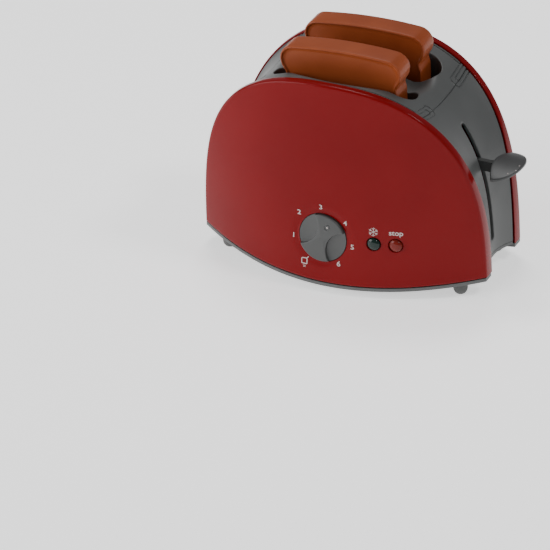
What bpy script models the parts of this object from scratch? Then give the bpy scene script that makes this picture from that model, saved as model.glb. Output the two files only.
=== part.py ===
"""A toy pop-up toaster: two domed red side shells on a gray frame, with two slices of toy bread.

Metres, +Z up, the row stands along X with the lever at +X and the dial on the -Y side.
The table top is z = 0 and the middle of the whole length is x = 0. The shapes are first made
round the middle of the body, and the last step shifts them all by half of what the lever adds.
"""
import bmesh
import bpy
from math import atan2, copysign, cos, hypot, pi, radians, sin, sqrt, tan
from mathutils import Matrix, Vector

# Body outline, one arch seen from the front
LENGTH = 0.180
ARCH_HEIGHT = 0.1358
ARCH_BASE = -0.0070
ARCH_POWER_ACROSS = 2.40
ARCH_POWER_UP = 3.27
END_DEPTH = 0.0257
BELLY = 0.0313
LEAN_SHARE = 0.592
CROWN = ARCH_BASE + ARCH_HEIGHT
GAP = 0.0003
BITE = 0.0008
MERGE = 0.000002

# Side shells
RED_EDGE = 0.0065
EDGE_RISE = 0.0061
SHELL_WALL = 0.0022
SHELL_SKIRT = 0.0052
SKIRT_GAIN = 0.0040
SKIRT_POWER = 11
SHELL_ROUND = 0.0014
SHELL_LIP = 0.0008
SHELL_LAND = 0.0012
ROUND_SHARES = ((1.0, 0.0), (0.3, 0.3), (0.0, 1.0))
ARCH_STEPS = 24

# Gray frame between the shells
FRAME_WALL = 0.0020
FRAME_EDGE = 0.0011
FRAME_MIDDLE_TOP = 0.0015
FRAME_MIDDLE_GAIN = 0.0051
FRAME_MIDDLE_POWER = 9
WALL_FOOT = 0.0124
WALL_STEPS_UP = 9
WALL_STEPS_ACROSS = 6

# Lever slot in the right end wall
SLIT_WIDTH = 0.0041
SLIT_BOTTOM = 0.0230
SLIT_BELOW_CROWN = 0.0330
SLIT_TOP = CROWN - SLIT_BELOW_CROWN
SLIT_END_STEPS = 8

# Dished top with the two bread slots and the chutes below them
TOP_WALL = 0.0022
DISH_FROM_END = 0.0375
DISH_HALF_X = LENGTH / 2 - DISH_FROM_END
DISH_HALF_Y = 0.0340
DISH_RADIUS = 0.0260
DISH_SLOPE = 0.0080
DISH_DEPTH = 0.0042
DISH_RING_SHARES = (0.0, 0.3, 0.6, 1.0)
BORDER_CORNER_SHARE = 0.4
DISH_CORNER_STEPS = 5
SLOT_OFFSET = 0.0167
SLOT_HALF_X = DISH_HALF_X - DISH_SLOPE
SLOT_HALF_Y = 0.0095
CHUTE_WALL = 0.0018
CHUTE_DEPTH = 0.0708
CHUTE_FOOT = CROWN - CHUTE_DEPTH
SEAM_MARGIN = 0.0015
SEAM_X = DISH_HALF_X + SEAM_MARGIN
SLOT_ARC_STEPS = 4
CHUTE_SLIT_WIDTH = 0.0090
CHUTE_SLIT_BELOW_CROWN = 0.0358
CHUTE_SLIT_TOP = CROWN - CHUTE_SLIT_BELOW_CROWN
SHELF_PAST_SEAM = 0.0046
SHELF_X = SEAM_X + SHELF_PAST_SEAM
SHELF_HALF_Y = 0.0212
SHELF_BELOW_CROWN = 0.0333
SHELF_BOTTOM = CROWN - SHELF_BELOW_CROWN
SHELF_HEIGHT = 0.0040
SHELF_SEAT = 0.0030

# Base tray
TRAY_EDGE = 0.0038
TRAY_PLATE = 0.0024
TRAY_INSET = 0.0006
TRAY_FROM_END = 0.0005
TRAY_END = LENGTH / 2 - TRAY_FROM_END
TRAY_STEPS = 12

# Feet
FOOT_FROM_END = 0.0161
FOOT_X = LENGTH / 2 - FOOT_FROM_END
FOOT_Y = 0.0264
FOOT_RADIUS = 0.0043
FOOT_FLAT = 0.0016
FOOT_STEM = 0.0015
FOOT_BARB = 0.0023
FOOT_BARB_HEIGHT = 0.0009
FOOT_DOME_SHARE = 0.6
FOOT_DOME_STEPS = 3
FOOT_STEPS = 10
PAD_RADIUS = 0.0049
PAD_BOTTOM = 0.0072

# Base screws, from below through the tray into posts of the shells
POST_FROM_END = 0.0300
POST_X = LENGTH / 2 - POST_FROM_END
POST_Y = 0.0286
POST_RADIUS = 0.0035
POST_HEIGHT = 0.0170
POST_WEB = 0.0024
WELL_RADIUS = 0.0048
WELL_TOP = 0.0130
WELL_BORE = 0.0033
WELL_BORE_TOP = 0.0106
SCREW_HEAD_RADIUS = 0.0029
SCREW_HEAD_HEIGHT = 0.0019
SCREW_EASE_SHARE = 0.33
SCREW_RADIUS = 0.0013
SCREW_LENGTH = 0.0136

# Guide rods, carriage and its springs
ROD_PAST_SLOT = 0.0095
ROD_X = SLOT_HALF_X + ROD_PAST_SLOT
ROD_RADIUS = 0.0016
ROD_BOTTOM = 0.0076
ROD_BOSS_RADIUS = 0.0040
ROD_BOSS_TOP = 0.0120
HUB_RADIUS = 0.0042
HUB_BELOW_CROWN = 0.0643
HUB_HEIGHT = 0.0105
HUB_BOTTOM = CROWN - HUB_BELOW_CROWN
HUB_TOP = HUB_BOTTOM + HUB_HEIGHT
STEM_HALF_Y = 0.00165
STEM_RISE = 0.0038
STEM_HEIGHT = 0.0069
STEM_FROM_END = 0.0058
STEM_BOTTOM = HUB_BOTTOM + STEM_RISE
STEM_TOP = STEM_BOTTOM + STEM_HEIGHT
STEM_END = LENGTH / 2 - STEM_FROM_END
TONGUE_LENGTH = 0.0066
TONGUE_END = STEM_END + TONGUE_LENGTH
TONGUE_HALF_Y = 0.0012
TONGUE_RISE = 0.0017
TONGUE_HEIGHT = 0.0036
TONGUE_BOTTOM = STEM_BOTTOM + TONGUE_RISE
TONGUE_TOP = TONGUE_BOTTOM + TONGUE_HEIGHT
BEAM_HALF_X = 0.0024
LUG_HALF_X = 0.0020
LUG_FRONT = 0.0252
LUG_RISE = 0.0075
LUG_HEIGHT = 0.0045
LUG_BOTTOM = HUB_BOTTOM + LUG_RISE
LUG_TOP = LUG_BOTTOM + LUG_HEIGHT
ARM_WIDTH = 0.0080
ARM_PLATE = 0.0030
ARM_TIP_GAP = 0.0005
ARM_TIP = 0.0045
LIFT_SPRING_RADIUS = 0.00285
LIFT_SPRING_WIRE = 0.00045
LIFT_SPRING_TURNS = 6
TURN_STEPS = 6

# Toy bread: a domed head over a waist and a straight body
SLICE_CLEARANCE = 0.0065
SLICE_ABOVE_CROWN = 0.0129
SLICE_REST = 0.0010
SLICE_HALF = SLOT_HALF_X - SLICE_CLEARANCE
SLICE_TOP = CROWN + SLICE_ABOVE_CROWN
SLICE_BOTTOM = HUB_BOTTOM + SLICE_REST
SLICE_CROWN = 0.0016
SLICE_CORNER = 0.0088
SLICE_CHEEK = 0.0040
SLICE_CHEEK_IN = 0.0009
SLICE_WAIST = 0.0034
SLICE_WAIST_DROP = 0.0088
SLICE_BODY = 0.0027
SLICE_BODY_DROP = 0.0130
SLICE_FOOT = 0.0050
SLICE_CROWN_STEPS = 2
SLICE_CORNER_STEPS = 5
SLICE_FOOT_STEPS = 3
SLICE_THICKNESS = 0.0145
SLICE_TIP = 1.6
SLICE_PIVOT_RISE = 0.0012
SLICE_PIVOT = CROWN + SLICE_PIVOT_RISE
SLICE_ROUND = 0.0013
SLICE_ROUND_SHARES = ((1.0, 0.0), (0.3, 0.3), (0.0, 1.0))

# Lever paddle
PADDLE_REACH = 0.0053
PADDLE_CORNER_X = STEM_END + PADDLE_REACH
PADDLE_HALF_Y = 0.0180
PADDLE_INNER_BOW = 0.0045
PADDLE_OUTER_BOW = 0.0137
PADDLE_RISE = 0.0047
PADDLE_CORNER_Z = STEM_BOTTOM + PADDLE_RISE
PADDLE_CROWN = 0.0038
PADDLE_PLATE = 0.0021
PADDLE_ROUND = 0.0006
PADDLE_TIP = 0.0012
PADDLE_STEPS = 20
SOCKET_GAP = 0.0005
SOCKET_LENGTH = 0.0088
SOCKET_START = STEM_END + SOCKET_GAP
SOCKET_END = SOCKET_START + SOCKET_LENGTH
SOCKET_HALF_Y = 0.0028
SOCKET_SKIN = 0.0014
SOCKET_BOTTOM = TONGUE_BOTTOM - SOCKET_SKIN
SOCKET_TOP = TONGUE_TOP + SOCKET_SKIN

# Places along the front shell, each from the one before
LATCH_FROM_ROD = 0.0070
STOP_FROM_LATCH = 0.0045
BUTTON_PITCH = 0.0125
DIAL_FROM_BUTTON = 0.0310
LATCH_X = ROD_X - LATCH_FROM_ROD
STOP_X = LATCH_X - STOP_FROM_LATCH
DEFROST_X = STOP_X - BUTTON_PITCH
DIAL_X = DEFROST_X - DIAL_FROM_BUTTON

# Dial on the front shell, measured along its own axis from the shell face
DIAL_Z = 0.0345
DIAL_RADIUS = 0.0150
DIAL_PROUD = 0.0010
DIAL_BACK = -0.0022
DIAL_CHAMFER = 0.0006
DIAL_POINTER = 25.0
DIAL_HUB_RADIUS = 0.0040
DIAL_HUB_END = -0.0089
SCOOP_RADIUS = 0.0125
SCOOP_OFFSET = 0.0166
SCOOP_DEPTH = 0.0020
RECESS_RADIUS = 0.0190
RECESS_FLOOR_RADIUS = 0.0156
RECESS_DEPTH = 0.0026
RECESS_BOSS_RADIUS = 0.0210
RECESS_BOSS_BACK = -0.0050
RECESS_BOSS_SHARE = 0.75
DIAL_HOLE = 0.0044

# Ratchet timer behind the dial
SHAFT_RADIUS = 0.0025
SHAFT_FLAT = 0.0017
SHAFT_TIP = -0.0016
SHAFT_END = -0.0216
COLLAR_RADIUS = 0.0038
COLLAR_SPAN = (-0.0187, -0.0160)
FRONT_PLATE_SPAN = (-0.0110, -0.0095)
REAR_PLATE_SPAN = (-0.0205, -0.0190)
PLATE_LEFT = -0.0280
PLATE_RIGHT = 0.0165
PLATE_HALF = 0.0165
GEAR_SPAN = (-0.0136, -0.0116)
CAM_SPAN = (-0.0157, -0.0142)
CAM_RADIUS = 0.0064
CAM_NOTCH = 0.0020
WHEEL_SPAN = (-0.0156, -0.0144)
PINION_SPAN = (-0.0150, -0.0114)
WHEEL_RADIUS = 0.0088
WHEEL_TEETH = 16
WHEEL_TOOTH = 0.0012
WHEEL_TOOTH_SHARES = (0.0, 0.25, 0.8)
ARBOR_RADIUS = 0.0011
ARBOR_SPAN = (-0.0209, -0.0091)
GEAR_TEETH = 24
PINION_TEETH = 8
MODULE = 0.00103
MESH_SLACK = 0.0002
TOOTH_ABOVE_SHARE = 0.70
TOOTH_BELOW_SHARE = 1.00
TOOTH_TIP_SHARE = 0.18
TOOTH_ROOT_SHARE = 0.56
PILLAR_MARGIN = 0.0039
PILLAR_RADIUS = 0.0021
RIVET_RADIUS = 0.0011
RIVET_TIP = -0.0088
TIMER_SCREW_LEFT = -0.0120
TIMER_SCREW_MARGIN = 0.0020

# Small screws holding the timer and the button guide
SMALL_SCREW_RADIUS = 0.0011
SMALL_HEAD_RADIUS = 0.0022
SMALL_HEAD_HEIGHT = 0.0016
SMALL_SCREW_LENGTH = 0.0066
SMALL_POST_RADIUS = 0.0029
SMALL_POST_TOP = -0.0030

# Two push buttons in the front shell, moving along Y
BUTTON_Z = 0.0352
BUTTON_RADIUS = 0.0039
BUTTON_PROUD = 0.0017
BUTTON_RIM = -0.0002
BUTTON_DOME_STEPS = 4
BUTTON_HOLE_REACH = 0.0044
BUTTON_FLANGE_RADIUS = 0.0049
BUTTON_FLANGE_SPAN = (-0.0054, -0.0042)
PLUNGER_RADIUS = 0.0015
PLUNGER_PAST_GUIDE = 0.0012
GUIDE_FACE_Y = -0.0350
GUIDE_PLATE = 0.0015
GUIDE_MARGIN_LEFT = 0.0048
GUIDE_MARGIN_RIGHT = 0.0039
GUIDE_LEFT = DEFROST_X - GUIDE_MARGIN_LEFT
GUIDE_RIGHT = STOP_X + GUIDE_MARGIN_RIGHT
GUIDE_HALF_Z = 0.0115
GUIDE_SCREW_X = (DEFROST_X + STOP_X) / 2
GUIDE_SCREW_RISE = 0.0085
BUTTON_SPRING_RADIUS = 0.0027
BUTTON_SPRING_WIRE = 0.00025
BUTTON_SPRING_TURNS = 3

# Latch over the carriage lug
LATCH_Y = -0.0293
LATCH_POST_RADIUS = 0.0030
LATCH_BOTTOM = 0.0330
LATCH_PLATE = 0.0030
LATCH_HUB_RADIUS = 0.0032
LATCH_HOOK_LENGTH = 0.0094
LATCH_HOOK_ANGLE = 6.0
LATCH_TAIL_LENGTH = 0.0050
LATCH_TAIL_ANGLE = 130.0
LATCH_HALF_WIDTH = 0.0013
LATCH_END_STEPS = 6
LATCH_PIN_RADIUS = 0.0014
LATCH_PIN_EASE = 0.0007
LATCH_PIN_DEPTH = 0.0080

ROUND_STEPS = 18
WELL_STEPS = 12
SMALL_STEPS = 10
SHAFT_STEPS = 16
FACET_ANGLE = 40.0


# Collections and materials
def clear_scene():
    for thing in list(bpy.data.objects):
        bpy.data.objects.remove(thing)


def collection(name, hidden=False):
    made = bpy.data.collections.new(name)
    made.hide_render = hidden
    bpy.context.scene.collection.children.link(made)
    return made


def material(name, colour, roughness, metallic=0.0):
    made = bpy.data.materials.new(name)
    made.use_nodes = True
    shader = made.node_tree.nodes["Principled BSDF"]
    shader.inputs["Base Color"].default_value = (*colour, 1.0)
    shader.inputs["Roughness"].default_value = roughness
    shader.inputs["Metallic"].default_value = metallic
    made.diffuse_color = (*colour, 1.0)
    return made


clear_scene()
PARTS = collection("toy_toaster")
CUTTERS = collection("cutters", hidden=True)

RED = ((0.23, 0.012, 0.012), 0.18, 0.0)
GRAY = ((0.125, 0.125, 0.118), 0.45, 0.0)
DIAL_GRAY = ((0.15, 0.155, 0.15), 0.40, 0.0)
BREAD = ((0.28, 0.075, 0.018), 0.50, 0.0)
DARK_GREEN = ((0.006, 0.016, 0.012), 0.12, 0.0)
DARK_RED = ((0.12, 0.008, 0.006), 0.12, 0.0)
RUBBER = ((0.10, 0.10, 0.095), 0.65, 0.0)
STEEL = ((0.55, 0.55, 0.56), 0.30, 1.0)
WHITE_PLASTIC = ((0.62, 0.61, 0.58), 0.45, 0.0)
DARK_PLASTIC = ((0.035, 0.035, 0.035), 0.50, 0.0)


# Mesh helpers
def cutter(name, mesh):
    """A mesh as a hidden helper object, until part() shows it"""
    made = bpy.data.objects.new(name, mesh)
    made.hide_render = True
    made.display_type = "WIRE"
    CUTTERS.objects.link(made)
    return made


def finished(name, work):
    """A bmesh as a helper object, its faces turned outward"""
    bmesh.ops.recalc_face_normals(work, faces=work.faces)
    mesh = bpy.data.meshes.new(name)
    work.to_mesh(mesh)
    work.free()
    return cutter(name, mesh)


def solid(name, points, faces):
    """A closed shape from points and faces, for the lofts"""
    mesh = bpy.data.meshes.new(name)
    mesh.from_pydata([tuple(point) for point in points], [], faces)
    work = bmesh.new()
    work.from_mesh(mesh)
    bpy.data.meshes.remove(mesh)
    return finished(name, work)


def evaluated(name, source):
    """The mesh that a curve or a modifier makes, its seams merged; the source is removed"""
    bpy.context.view_layer.update()
    graph = bpy.context.evaluated_depsgraph_get()
    mesh = bpy.data.meshes.new_from_object(source.evaluated_get(graph))
    work = bmesh.new()
    work.from_mesh(mesh)
    bpy.data.meshes.remove(mesh)
    bpy.data.objects.remove(source)
    bmesh.ops.remove_doubles(work, verts=work.verts, dist=MERGE)
    return finished(name, work)


def loft(name, loops):
    """Skin between closed loops; the ends are closed by strips between mirrored points"""
    count = len(loops[0])
    points = [point for loop in loops for point in loop]
    faces = []
    for ring in range(len(loops) - 1):
        low, high = ring * count, (ring + 1) * count
        for step in range(count):
            after = (step + 1) % count
            faces.append((low + step, low + after, high + after, high + step))
    last = (len(loops) - 1) * count
    for base, flip in ((0, True), (last, False)):
        for step in range(count // 2):
            corners = [base + step, base + step + 1, base + count - step - 1, base + (count - step) % count]
            corners = list(dict.fromkeys(corners))
            faces.append(tuple(reversed(corners)) if flip else tuple(corners))
    return solid(name, points, faces)


def prism(name, outline, start, end, axis="Z"):
    """A flat outline drawn out along an axis: Z takes (x, y), Y takes (x, z), X takes (y, z)"""
    curve = bpy.data.curves.new(name, "CURVE")
    curve.dimensions = "2D"
    curve.fill_mode = "BOTH"
    curve.extrude = (end - start) / 2
    line = curve.splines.new("POLY")
    line.points.add(len(outline) - 1)
    for corner, (a, b) in zip(line.points, outline):
        corner.co = (a, b, 0, 1)
    line.use_cyclic_u = True
    source = bpy.data.objects.new(name, curve)
    CUTTERS.objects.link(source)
    made = evaluated(name, source)
    turn = {
        "Z": Matrix.Identity(4),
        "Y": Matrix(((1, 0, 0, 0), (0, 0, 1, 0), (0, 1, 0, 0), (0, 0, 0, 1))),
        "X": Matrix(((0, 0, 1, 0), (1, 0, 0, 0), (0, 1, 0, 0), (0, 0, 0, 1))),
    }[axis]
    return placed(made, turn @ Matrix.Translation((0, 0, (start + end) / 2)))


def block(name, low, high):
    """A box between two corners"""
    low, high = Vector(low), Vector(high)
    work = bmesh.new()
    place = Matrix.Translation((low + high) / 2) @ Matrix.Diagonal((*(high - low), 1))
    bmesh.ops.create_cube(work, size=1, matrix=place)
    return finished(name, work)


def rod(name, radius, start, end, steps=SMALL_STEPS):
    """A plain cylinder along Z"""
    low, high = min(start, end), max(start, end)
    work = bmesh.new()
    place = Matrix.Translation((0, 0, (low + high) / 2))
    bmesh.ops.create_cone(work, cap_ends=True, segments=steps, radius1=radius, radius2=radius,
                          depth=high - low, matrix=place)
    return finished(name, work)


def turned(name, profile, steps=ROUND_STEPS):
    """A lathe shape about Z from (radius, z) points"""
    mesh = bpy.data.meshes.new(name)
    points = [(radius, 0, z) for radius, z in profile]
    mesh.from_pydata(points, [(step, step + 1) for step in range(len(points) - 1)], [])
    source = bpy.data.objects.new(name, mesh)
    CUTTERS.objects.link(source)
    screw = source.modifiers.new("Turn", "SCREW")
    screw.axis = "Z"
    screw.steps = steps
    screw.render_steps = steps
    screw.use_merge_vertices = True
    screw.merge_threshold = MERGE
    return evaluated(name, source)


def slab(name, outer, inner):
    """A curved plate between two matching grids of points"""
    rows, columns = len(outer), len(outer[0])
    points = [point for grid in (outer, inner) for row in grid for point in row]
    half = rows * columns
    faces = []
    for row in range(rows - 1):
        for column in range(columns - 1):
            a = row * columns + column
            quad = (a, a + 1, a + columns + 1, a + columns)
            faces.append(quad)
            faces.append(tuple(half + corner for corner in reversed(quad)))
    rim = [column for column in range(columns - 1)]
    rim += [row * columns + columns - 1 for row in range(rows - 1)]
    rim += [half - 1 - column for column in range(columns - 1)]
    rim += [(rows - 1 - row) * columns for row in range(rows - 1)]
    for step, corner in enumerate(rim):
        after = rim[(step + 1) % len(rim)]
        faces.append((after, corner, half + corner, half + after))
    return solid(name, points, faces)


def spring(name, radius, wire, turns, length, steel):
    """A coil along Z from zero to its length"""
    curve = bpy.data.curves.new(name, "CURVE")
    curve.dimensions = "3D"
    curve.bevel_depth = wire
    curve.bevel_resolution = 1
    curve.use_fill_caps = True
    line = curve.splines.new("POLY")
    count = turns * TURN_STEPS + 1
    line.points.add(count - 1)
    for step in range(count):
        angle = 2 * pi * step / TURN_STEPS
        level = wire + (length - 2 * wire) * step / (count - 1)
        line.points[step].co = (radius * cos(angle), radius * sin(angle), level, 1)
    curve.materials.append(material(name, *steel))
    made = bpy.data.objects.new(name, curve)
    PARTS.objects.link(made)
    return made


def placed(thing, matrix):
    """Move a shape's points"""
    thing.data.transform(matrix)
    if matrix.determinant() < 0:
        thing.data.flip_normals()
    return thing


def moved(thing, x, y, z=0):
    return placed(thing, Matrix.Translation((x, y, z)))


def combine(thing, other, operation):
    step = thing.modifiers.new(other.name, "BOOLEAN")
    step.operation = operation
    step.solver = "EXACT"
    step.object = other
    return thing


def cut(thing, *others):
    for other in others:
        combine(thing, other, "DIFFERENCE")
    return thing


def join(thing, *others):
    for other in others:
        combine(thing, other, "UNION")
    return thing


def part(thing, look, origin=(0, 0, 0), smooth=True):
    """Show a finished shape as a piece of the object, its origin on its joint or at the centre"""
    thing.hide_render = False
    thing.display_type = "TEXTURED"
    CUTTERS.objects.unlink(thing)
    PARTS.objects.link(thing)
    thing.data.materials.append(material(thing.name, *look))
    thing.data.transform(Matrix.Translation(-Vector(origin)))
    thing.location = origin
    if smooth:
        for face in thing.data.polygons:
            face.use_smooth = True
        thing.data.set_sharp_from_angle(angle=radians(FACET_ANGLE))
    return thing


# Outlines
def solve(test, low, high):
    """The value between low and high where the test passes from negative to positive"""
    for _ in range(50):
        middle = (low + high) / 2
        if test(middle) < 0:
            low = middle
        else:
            high = middle
    return (low + high) / 2


def inset_outline(outline, distance):
    """A closed outline with each edge moved inward; the outline runs counter-clockwise"""
    moved_points = []
    count = len(outline)
    for step in range(count):
        before, here, after = outline[step - 1], outline[step], outline[(step + 1) % count]
        first = Vector((here[0] - before[0], here[1] - before[1])).normalized()
        second = Vector((after[0] - here[0], after[1] - here[1])).normalized()
        inward = Vector((-first.y - second.y, first.x + second.x))
        reach = distance * 2 / inward.length_squared
        moved_points.append((here[0] + inward.x * reach, here[1] + inward.y * reach))
    return moved_points


def rounded_box(half_x, half_y, radius, corner_steps, long_steps=4, short_steps=1):
    """A rounded rectangle, counter-clockwise from (half_x, 0), with mirrored point counts"""
    quarter = [(half_x, (half_y - radius) * step / short_steps) for step in range(short_steps)]
    for step in range(corner_steps):
        angle = pi / 2 * step / corner_steps
        quarter.append((half_x - radius + radius * cos(angle), half_y - radius + radius * sin(angle)))
    quarter += [((half_x - radius) * (1 - step / long_steps), half_y) for step in range(long_steps + 1)]
    left = [(-x, y) for x, y in reversed(quarter[:-1])]
    upper = quarter + left
    return upper + [(x, -y) for x, y in reversed(upper[1:-1])]


def race_track(radius, offset):
    """The outline of a bread slot, grown to an end radius"""
    half_x = SLOT_HALF_X - SLOT_HALF_Y + radius
    upper = rounded_box(half_x, radius, radius, SLOT_ARC_STEPS)
    return [(x, y + offset) for x, y in upper]


def round_outline(radius, steps, x=0, y=0):
    return [(x + radius * cos(2 * pi * step / steps), y + radius * sin(2 * pi * step / steps))
            for step in range(steps)]


def gear_outline(teeth, turn=0):
    """Straight-sided teeth about the centre"""
    pitch_radius = teeth * MODULE / 2
    root = pitch_radius - TOOTH_BELOW_SHARE * MODULE
    tip = pitch_radius + TOOTH_ABOVE_SHARE * MODULE
    outline = []
    for tooth in range(teeth):
        for radius, share in ((root, -TOOTH_ROOT_SHARE), (tip, -TOOTH_TIP_SHARE),
                              (tip, TOOTH_TIP_SHARE), (root, TOOTH_ROOT_SHARE)):
            angle = turn + 2 * pi / teeth * (tooth + share / 2)
            outline.append((radius * cos(angle), radius * sin(angle)))
    return outline


# The body surfaces
def face(x, z):
    """Half depth of the body over a point of its front view"""
    across = 1 - (2 * x / LENGTH) ** 2
    return END_DEPTH + BELLY * across * (1 - LEAN_SHARE * (z - ARCH_BASE) / LENGTH)


def arch_point(turn, inset=0):
    """A point (x, z) of the arch, moved inward; turn runs from 0 at +X to pi at -X"""
    across = abs(cos(turn)) ** (2 / ARCH_POWER_ACROSS)
    up = abs(sin(turn)) ** (2 / ARCH_POWER_UP)
    side = copysign(1, cos(turn))
    slope_x = side * ARCH_POWER_ACROSS * across ** (ARCH_POWER_ACROSS - 1) * 2 / LENGTH
    slope_z = ARCH_POWER_UP * up ** (ARCH_POWER_UP - 1) / ARCH_HEIGHT
    size = hypot(slope_x, slope_z)
    x = side * across * LENGTH / 2 - inset * slope_x / size
    z = ARCH_BASE + up * ARCH_HEIGHT - inset * slope_z / size
    return x, z


def arch_level(x, inset=0):
    """Height of the inset arch over a place across"""
    turn = solve(lambda angle: abs(x) - arch_point(angle, inset)[0], 0, pi / 2)
    return arch_point(turn, inset)[1]


def edge_level(x, middle):
    """The lower edges rise toward both ends"""
    return middle + EDGE_RISE * (2 * x / LENGTH) ** 2


def skirt_depth(x):
    """How far a shell's wrapped edge reaches back: widest at both ends"""
    return SHELL_SKIRT + SKIRT_GAIN * min(abs(2 * x / LENGTH), 1) ** SKIRT_POWER


def frame_half(x, z):
    """Half width of the gray frame where it passes between the shells"""
    return face(x, z) - skirt_depth(x) - GAP


def frame_inset(y, half, z):
    """How far the gray frame lies inside the arch: least beside the shells"""
    height = max(z - ARCH_BASE, 0) / ARCH_HEIGHT
    middle = FRAME_MIDDLE_TOP + FRAME_MIDDLE_GAIN * (1 - height ** FRAME_MIDDLE_POWER)
    return FRAME_EDGE + (middle - FRAME_EDGE) * (1 - min(abs(y) / half, 1) ** 2)


def dish_drop(x, y):
    """Depth of the shallow dish round the bread slots"""
    over_x = abs(x) - (DISH_HALF_X - DISH_RADIUS)
    over_y = abs(y) - (DISH_HALF_Y - DISH_RADIUS)
    outside = hypot(max(over_x, 0), max(over_y, 0)) + min(max(over_x, over_y), 0)
    share = min(max((DISH_RADIUS - outside) / DISH_SLOPE, 0), 1)
    return DISH_DEPTH * share * share * (3 - 2 * share)


def top_level(x, y):
    """Height of the gray top"""
    crown = arch_level(x)
    inset = frame_inset(y, frame_half(x, crown), crown)
    return arch_level(x, inset) - dish_drop(x, y)


# Side shells
def shell_loop(inset, depth, side):
    """One loop round a side shell: over the arch from +X to -X and back along the lower edge"""

    def above_edge(turn):
        x, z = arch_point(turn, inset)
        return z - edge_level(x, RED_EDGE) - inset

    corner = solve(above_edge, 0, pi / 2)
    sweep = (pi - 2 * corner) / ARCH_STEPS
    over = [arch_point(corner + sweep * step, inset) for step in range(ARCH_STEPS + 1)]
    under = [(x, edge_level(x, RED_EDGE) + inset) for x, _ in reversed(over[1:-1])]
    return [(x, side * (face(x, z) - depth(x)), z) for x, z in over + under]


def shell_body(name, side):
    """A domed side shell with its wrapped edge, hollow behind"""

    def fixed(depth):
        return lambda x: depth

    def up_to_edge(short):
        return lambda x: skirt_depth(x) - short

    outer = [(SHELL_ROUND * a, fixed(SHELL_ROUND * b)) for a, b in ROUND_SHARES]
    outer.insert(0, (SHELL_ROUND + SHELL_LAND, fixed(0)))
    outer += [(0, up_to_edge(SHELL_LIP)), (SHELL_LIP, up_to_edge(0))]
    inner = [(SHELL_LIP + SHELL_WALL, up_to_edge(0)), (SHELL_WALL, fixed(SHELL_WALL + SHELL_ROUND / 2))]
    inner.append((SHELL_WALL + SHELL_ROUND / 2, fixed(SHELL_WALL)))
    return loft(name, [shell_loop(inset, depth, side) for inset, depth in outer + inner])


def add_screw_posts(shell, side):
    """Two posts for the base screws, each on a web to the wall"""
    bottom = WELL_TOP + GAP
    top = bottom + POST_HEIGHT
    for x in (-POST_X, POST_X):
        post = moved(rod(shell.name + "_post", POST_RADIUS, bottom, top), x, side * POST_Y)
        wall_y = face(x, bottom) - SHELL_WALL / 2
        thin = POST_WEB / 2
        low_y, high_y = sorted((side * POST_Y, side * wall_y))
        web = block(shell.name + "_web", (x - thin, low_y, bottom + GAP), (x + thin, high_y, top - GAP))
        bore_top = WELL_BORE_TOP + SCREW_LENGTH + GAP
        bore = rod(shell.name + "_bore", SCREW_RADIUS + GAP, bottom - BITE, bore_top)
        join(shell, web, post)
        cut(shell, moved(bore, x, side * POST_Y))


def dial_frame():
    """Places shapes made along Z onto the dial's axis, out of the shell face"""
    lean = atan2(BELLY * LEAN_SHARE, LENGTH)
    outward = Vector((0, -cos(lean), sin(lean)))
    across = Vector((1, 0, 0))
    up = outward.cross(across)
    frame = Matrix((across, up, outward)).transposed().to_4x4()
    frame.translation = (DIAL_X, -face(DIAL_X, DIAL_Z), DIAL_Z)
    return frame


def pillar_places():
    """Three corners of the timer's plates, seen along the dial's axis"""
    right = PLATE_RIGHT - PILLAR_MARGIN
    left = PLATE_LEFT + PILLAR_MARGIN
    up = PLATE_HALF - PILLAR_MARGIN
    return ((right, up), (left, up), (left, -up))


def timer_screw_places():
    """The fourth corner, and a place at the upper edge between the two wheels"""
    corner = (PLATE_RIGHT - PILLAR_MARGIN, PILLAR_MARGIN - PLATE_HALF)
    return (corner, (TIMER_SCREW_LEFT, PLATE_HALF - TIMER_SCREW_MARGIN))


def add_dial_seat(shell):
    """The shallow recess round the dial, its boss, and the posts of the timer"""
    dial = dial_frame()
    boss = rod("seat_boss", RECESS_BOSS_RADIUS, RECESS_BOSS_BACK, -SHELL_WALL * RECESS_BOSS_SHARE,
               ROUND_STEPS)
    join(shell, placed(boss, dial))
    for x, y in timer_screw_places():
        post = moved(rod("timer_post", SMALL_POST_RADIUS, FRONT_PLATE_SPAN[1] + GAP, SMALL_POST_TOP), x, y)
        join(shell, placed(post, dial))
    slope = (RECESS_RADIUS - RECESS_FLOOR_RADIUS) / RECESS_DEPTH
    above = RECESS_DEPTH
    recess = turned("recess", ((0, -RECESS_DEPTH), (RECESS_FLOOR_RADIUS, -RECESS_DEPTH),
                               (RECESS_RADIUS + slope * above, above), (0, above)), 2 * ROUND_STEPS)
    hole = rod("dial_hole", DIAL_HOLE, RECESS_BOSS_BACK - BITE, 0, ROUND_STEPS)
    cut(shell, placed(recess, dial), placed(hole, dial))
    for x, y in timer_screw_places():
        bore_end = FRONT_PLATE_SPAN[0] + SMALL_SCREW_LENGTH + GAP
        bore = moved(rod("timer_bore", SMALL_SCREW_RADIUS + GAP, FRONT_PLATE_SPAN[0], bore_end), x, y)
        cut(shell, placed(bore, dial))


def button_frame(x):
    """Places shapes made along Z onto a button's axis: out of the shell along -Y"""
    frame = Matrix.Rotation(pi / 2, 4, "X")
    frame.translation = (x, -face(x, BUTTON_Z), BUTTON_Z)
    return frame


def guide_screw_levels():
    return (BUTTON_Z - GUIDE_SCREW_RISE, BUTTON_Z + GUIDE_SCREW_RISE)


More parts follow.
